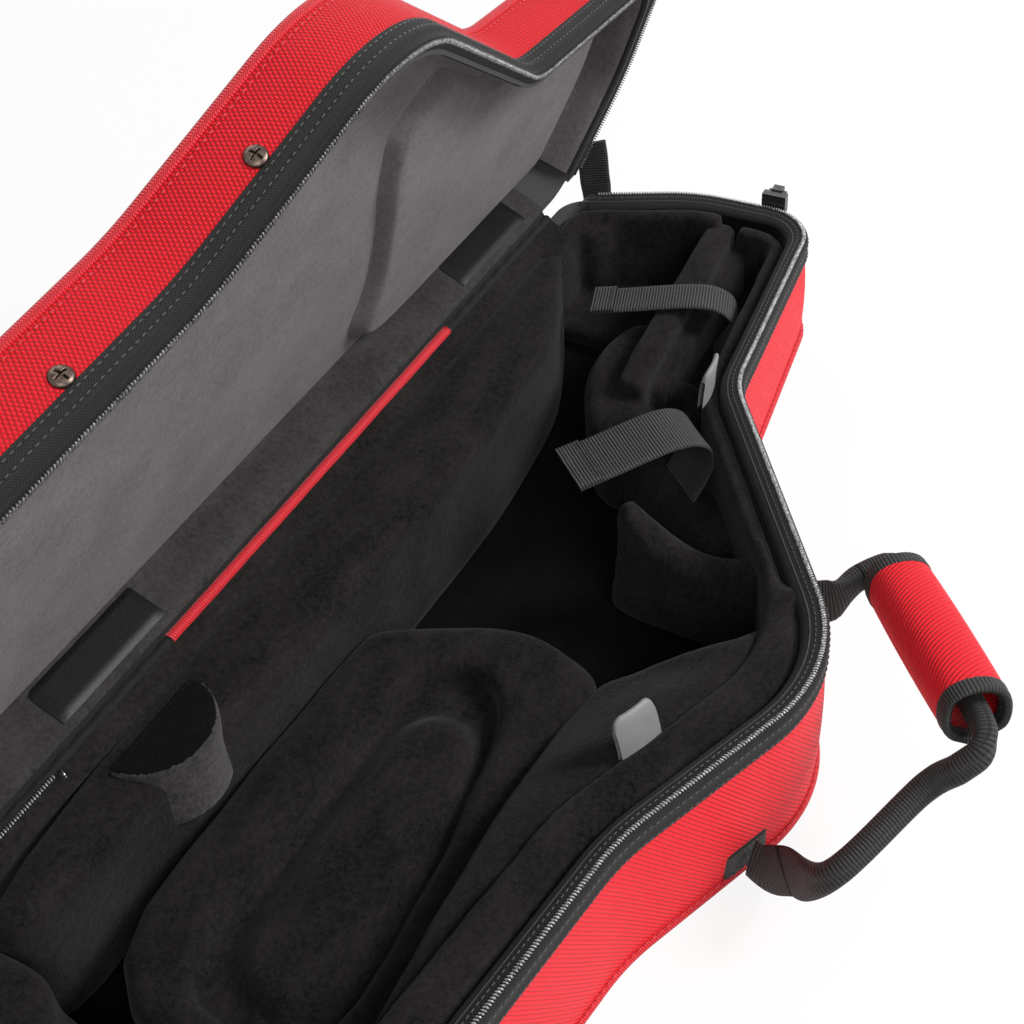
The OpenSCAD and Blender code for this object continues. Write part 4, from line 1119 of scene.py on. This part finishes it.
def stay(name, node, side_no):
    """Webbing from the base to the lid, sewn behind both zips, drawn once in a fixed bent shape."""
    co = np.array([v.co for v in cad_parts[node].data.vertices]) / MM
    low, high = co[:, 2].min(), co[:, 2].max()
    foot, head = co[co[:, 2] < low + 3].mean(0), co[co[:, 2] > high - 3].mean(0)
    p, q = (np.array(CORNERS[(side_no + k) % len(CORNERS)][:2], float) for k in (0, 1))
    way = unit(q - p)
    out = np.array([-way[1], way[0], 0])
    mid = (foot + head) / 2 + out * 5 - [0, 0, 4]
    path = [foot, (foot + mid) / 2 + out * 2.5, mid, (mid + head) / 2 + out * 2.5, head]
    across = (way[0], way[1], -way[1] * math.tan(LID_OPEN / 2))
    obj = ribbon(name, path, across, 18, 1.5, WEBBING, "base", [node], 60, ride=False)
    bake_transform(obj)


# ---- side handle ----

def handle_points():
    """The handle's two places on the wall and the two ends of its grip, as in the part's source."""
    wall_far, out_far = on_side(3, 57)
    grip_far = np.append(wall_far + out_far * 40, 75)
    way = unit([-0.78, -0.61, 0.17])
    return (wall_far, out_far), on_side(4, -45), grip_far, grip_far + way * GRIP_L, way


def side_handle():
    far, near, grip_far, grip_near, way = handle_points()

    def off(place, reach, z):
        """The point that stands out from the wall by reach, at height z."""
        wall, out = place
        return np.append(wall + out * reach, z)

    route = [off(far, 3.6, 66), off(far, 13, 66.6), off(far, 25, 70) - way * [7, 7, 0], grip_far - way * 9,
             grip_far, (grip_far + grip_near) / 2, grip_near, grip_near + [-13, -6, -2],
             grip_near + [-20, 0, -10], grip_near + [-27, 12, -23], off(near, 48, 46), off(near, 24, 23),
             off(near, 13, 12.6), off(near, 4.2, 12)]
    path = spline(route, ROLL_POINTS)
    s = np.linspace(0, 1, ROLL_POINTS)
    flat_far, flat_near = smoothstep((0.07 - s) / 0.05), smoothstep((s - 0.80) / 0.10)
    squeeze = smoothstep((s - 0.14) / 0.05) * smoothstep((0.48 - s) / 0.05)

    def section(i, t):
        f = max(flat_far[i], flat_near[i])
        a = 6.2 * (1 - f) + 11.5 * f - 0.6 * squeeze[i]
        b = 5.0 * (1 - f) + 1.1 * f
        ring = []
        for k in range(ROLL_SIDES):
            q = 2 * math.pi * k / ROLL_SIDES
            fold = 1 - 0.16 * (1 - f) * math.exp(-((q - math.pi * 1.5) / 0.22) ** 2)
            ring.append((a * fold * math.copysign(abs(math.cos(q)) ** 0.8, math.cos(q)),
                         b * fold * math.copysign(abs(math.sin(q)) ** 0.8, math.sin(q))))
        return ring

    co, _, uv = sweep(path, (0.25, 0.1, 1), section)
    handle_webbing(co, uv)
    grip_wrap(grip_far, way)
    anchor_patch("handle_anchor_far", *far, 66)
    anchor_patch("handle_anchor_near", *near, 12)


def handle_webbing(co, uv):
    """The rolled webbing. Its two ends stay sewn to the wall and ride with no body."""
    end = ROLL_POINTS - 1
    for name, first, last, anchor in (("handle_roll", 13, 147, None), ("handle_end_far", 0, 14, 0),
                                      ("handle_end_near", 146, end, end)):
        part = slice(first * ROLL_SIDES, (last + 1) * ROLL_SIDES)
        faces = grid_faces(last - first + 1, ROLL_SIDES, wrap_cols=True)
        nodes = ["handle_webbing"] if anchor is None else ()
        obj = make(name, co[part], faces, WEBBING, "side_handle", nodes, uv[part],
                   ride=anchor is None)
        if anchor is not None:
            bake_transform(obj)


def thicken(obj, thickness):
    """Gives a sheet its thickness, inwards from its surface."""
    solid = obj.modifiers.new("thickness", "SOLIDIFY")
    solid.thickness = thickness * MM
    solid.offset = -1


def grip_wrap(a, way):
    """The padded grip: red cloth wrapped round the webbing, closed along an overlap, with bound ends."""
    up = unit(UP - way * way[2])
    side = np.cross(way, up)
    n, m = 64, 88

    def ring(t, grow=0.0):
        crown = 0.9 * math.sin(math.pi * t) ** 0.5
        pts = []
        for k in range(m):
            f = k / (m - 1)
            q = -2 * math.pi * f + math.radians(-112)
            lift = 3.4 * smoothstep((f - 0.86) / 0.14) - 1.6 * smoothstep((0.10 - f) / 0.10)
            r = 15.0 + crown + lift + grow
            flat = 1 - 0.10 * math.cos(2 * q)
            pts.append((r * 1.07 * flat * math.cos(q), r * 0.93 * math.sin(q)))
        return pts

    def lay(t, points):
        """A ring of points square to the grip, t of the way along its cloth."""
        return a + way * (5 + 90 * t) + np.array([side * x + up * y for x, y in points])

    rows = [lay(t, ring(t)) for t in np.linspace(0, 1, n)]
    co = np.array(rows).reshape(-1, 3)
    uv = [(i * 1.45, k * 1.1) for i in range(n) for k in range(m)]
    outer = make("grip_cloth", co, grid_faces(n, m), red_twill("red_grip_nylon", "UV", 35, 2.0),
                 "side_handle",
                 ["handle_grip"], uv)
    thicken(outer, 2.8)
    for name, t0, t1, node in (("grip_binding_far_ribbon", -0.055, 0.045, "grip_binding_far"),
                               ("grip_binding_near_ribbon", 0.955, 1.055, "grip_binding_near")):
        rows = []
        ts = np.linspace(t0, t1, 9)
        for j, t in enumerate(ts):
            hump = 1.5 * math.sqrt(max(0.0, 1 - (2 * j / 8 - 1) ** 4)) - 0.9
            rows.append(lay(t, ring(min(1, max(0, t)), hump)))
        co = np.array(rows).reshape(-1, 3)
        uv = [(k * 1.1, i * 1.2) for i in range(9) for k in range(m)]
        obj = make(name, co, grid_faces(9, m), WEBBING, "side_handle", [node], uv)
        thicken(obj, 4.5)


def anchor_patch(node, wall, out, z):
    """A sewn webbing patch with a boxed cross of stitches."""
    along = np.array([-out[1], out[0], 0])
    out3, up = np.append(out, 0), UP
    base = np.append(wall, z)
    lift = 2.4
    rows, uv = [], []
    for v in np.linspace(-9, 9, 10):
        for u in np.linspace(-13, 13, 14):
            drop = 1.6 * max(abs(u) / 13, abs(v) / 9) ** 8
            rows.append(base + along * u + up * v + out3 * (lift - drop))
            uv.append((v, u))
    make(node + "_patch", np.array(rows), grid_faces(10, 14), WEBBING, "base", [node], uv)
    pts = [(x, s * 6.5) for s in (-1, 1) for x in np.arange(-10.5, 11, 2.6)]
    pts += [(x, x * 6.5 / 10.5 * s) for s in (-1, 1) for x in np.arange(-9, 9.5, 2.6)]
    at = np.array([base + along * u + up * v + out3 * (lift + 0.2) for u, v in pts])
    axes = same_axes(len(at), along, up, out3)
    scatter(node + "_stitches", at, axes, (0.9, 0.25, 0.25), BLACK_THREAD, "base", template=bead(4, 6))


def loose_webbing():
    """The folded tab sewn to the wall and the two ring patches."""
    for node, wide, tall in (("side_tab", 24, 22), ("ring_patch_far", 22, 24), ("ring_patch_bow", 22, 24)):
        low, high = box_mm(node)
        mid = (low + high) / 2
        if node == "side_tab":
            out = np.append(unit(on_side(4, 0)[1] + on_side(5, 0)[1]), 0)
        else:
            out = np.array([1.0, 0.0417, 0]) if node == "ring_patch_far" else np.array([-1.0, 0, 0])
        along = np.array([-out[1], out[0], 0])
        face = [(-1.2, 0.6), (0.9, 0.9), (1.7, 4), (1.8, tall * 0.5), (1.9, tall - 4), (1.4, tall - 0.6),
                (-0.6, tall + 0.3)]
        if node != "side_tab":
            hump = high[2] - 4.8 - low[2]
            face = [(-1.2, 0.4), (1.2, 0.8), (1.7, 4), (1.9, hump - 7), (3.6, hump - 4.2), (6.8, hump - 1.5),
                    (7.2, hump + 0.4), (6.0, hump + 3.4), (3.2, hump + 4.6), (1.0, hump + 4.9), (-0.8,
                                                                                                 hump + 4.9)]
        foot = mid - out * abs(np.dot(high - low, np.abs(out))) / 2
        foot[2] = low[2]
        path = [foot + out * (b + 0.4) + np.array([0, 0, c]) for b, c in face]
        ribbon(node + "_webbing", path, along, wide - 2, 1.4, WEBBING, "base", [node], 40)
        at = np.array([foot + out * 3.0 + along * u + np.array([0, 0, 4.2]) for u in np.arange(-8, 8.5, 2.4)])
        axes = same_axes(len(at), along, out, UP)
        scatter(node + "_stitches", at, axes, (0.85, 0.25, 0.25), BLACK_THREAD, "base", template=bead(4, 6))


def zip_end():
    """The small metal stop and short run of coil where the zip ends by the hinge."""
    x = np.arange(-246, -186, ZIP_PITCH)
    at = np.column_stack([x, np.full(len(x), 124.0), np.full(len(x), 92.0)])
    axes = same_axes(len(x), np.array([0.3, 0.95, 0]), np.array([0.95, -0.3, 0]), UP)
    scatter("zip_end_teeth", at, axes, (1.4, 0.5, 0.8), COIL, "base", template=bead(5, 6))
    loop = spline([(-184, 121.0, 89.8), (-184, 121.3, 91.0), (-183.4, 122.8, 91.5), (-182.8, 124.2, 91.0),
                   (-182.8, 124.5, 89.8)], 24)
    ring = circle(0.5, 10)
    co, faces, uv = sweep(loop, (1, 0, 0), lambda i, t: ring)
    make("zip_end_stop", co, faces, NICKEL, "base", (), uv)


# ---- light, floor and camera ----

def white_for_camera(tree, shade, bright):
    """Mixes a shader with plain white for camera, glossy and transmission rays."""
    path = tree.nodes.new("ShaderNodeLightPath")
    seen = path.outputs["Is Camera Ray"]
    for name in ("Is Glossy Ray", "Is Transmission Ray"):
        node = tree.nodes.new("ShaderNodeMath")
        node.operation = "MAXIMUM"
        tree.links.new(seen, node.inputs[0])
        tree.links.new(path.outputs[name], node.inputs[1])
        seen = node.outputs[0]
    scale = tree.nodes.new("ShaderNodeMath")
    scale.operation = "MULTIPLY"
    tree.links.new(seen, scale.inputs[0])
    scale.inputs[1].default_value = bright
    mix = tree.nodes.new("ShaderNodeMixShader")
    tree.links.new(scale.outputs[0], mix.inputs[0])
    tree.links.new(shade, mix.inputs[1])
    return mix


def studio():
    world = bpy.data.worlds.new("studio")
    bpy.context.scene.world = world
    world.use_nodes = True
    tree = world.node_tree
    tree.nodes.clear()
    soft, white, out = (tree.nodes.new("ShaderNode" + k) for k in ("Background", "Background", "OutputWorld"))
    soft.inputs["Color"].default_value = (1, 1, 1, 1)
    soft.inputs["Strength"].default_value = 0.19
    white.inputs["Strength"].default_value = 1.0
    white.inputs["Color"].default_value = (1, 1, 1, 1)
    mix = white_for_camera(tree, soft.outputs[0], 1.0)
    tree.links.new(white.outputs[0], mix.inputs[2])
    tree.links.new(mix.outputs[0], out.inputs[0])

    floor_mat = bpy.data.materials.new("pale_floor")
    floor_mat.use_nodes = True
    tree = floor_mat.node_tree
    tree.nodes.clear()
    diffuse, glow, out = (tree.nodes.new("ShaderNode" + k) for k in ("BsdfDiffuse", "Emission",
                                                                     "OutputMaterial"))
    diffuse.inputs["Color"].default_value = (0.9, 0.9, 0.9, 1)
    mix = white_for_camera(tree, diffuse.outputs[0], 0.86)
    glow.inputs["Strength"].default_value = 1.0
    tree.links.new(glow.outputs[0], mix.inputs[2])
    tree.links.new(mix.outputs[0], out.inputs[0])
    mesh = bpy.data.meshes.new("floor")
    mesh.from_pydata([(-6, -6, 0), (6, -6, 0), (6, 6, 0), (-6, 6, 0)], [], [(0, 1, 2, 3)])
    mesh.materials.append(floor_mat)
    floor = bpy.data.objects.new("floor", mesh)
    bpy.context.scene.collection.objects.link(floor)
    for name, at, aim, size, power in (
            ("key", (0.9, -1.5, 1.5), (0.0, 0.0, 0.05), 0.8, 50),
            ("fill", (-1.3, -1.1, 1.5), (0.0, 0.05, 0.1), 1.1, 18),
            ("back", (0.9, 1.3, 1.7), (0.1, 0.0, 0.1), 1.2, 12)):
        lamp = bpy.data.lights.new(name, "AREA")
        lamp.shape, lamp.size, lamp.energy = "SQUARE", size, power
        obj = bpy.data.objects.new(name, lamp)
        obj.location = at
        obj.rotation_euler = (Vector(aim) - Vector(at)).to_track_quat("-Z", "Y").to_euler()
        bpy.context.scene.collection.objects.link(obj)


def camera():
    cam = bpy.data.cameras.new("camera")
    cam.sensor_width = 36
    cam.lens = 59.8
    cam.clip_start = 0.02
    obj = bpy.data.objects.new("camera", cam)
    right, up = Vector((0.4754, -0.8777, -0.0603)), Vector((0.6225, 0.2872, 0.7280))
    right.normalize()
    back = right.cross(up).normalized()
    up = back.cross(right)
    turn = Matrix((right, up, back)).transposed().to_4x4()
    obj.matrix_world = Matrix.Translation((-0.463, -0.276, 0.634)) @ turn
    bpy.context.scene.collection.objects.link(obj)
    bpy.context.scene.camera = obj
    bpy.context.scene.view_settings.view_transform = "Standard"


def carried_over():
    finish_nodes(BOARD, "base_frame", "lid_frame")
    finish_nodes(STEEL, "screw_plate_bow", "screw_plate_bell")
    finish_nodes(NICKEL, "carry_ring_far", "carry_ring_bow")
    finish_nodes(SLIDER, "zip_slider_far", "zip_slider_bow", "zip_pull_far", "zip_pull_bow")


for build in (camera, studio, carried_over, base_shell, base_lining, lid_shell, lid_soft, hinge_strips,
              hook_patches, lid_screws, bolster, far_pad, rail, channel, side_pad, block, trough, ridge,
              cradle, plug, bow_pad):
    build()
pull_tab("waist_tab", 2, -2.0)
pull_tab("bell_tab", 4, 6.0)
for kind in STRAPS:
    inner_strap(kind)
stay("stay_far_webbing", "stay_strap_far", 0)
stay("stay_bow_webbing", "stay_strap_bow", 6)
side_handle()
loose_webbing()
zip_end()
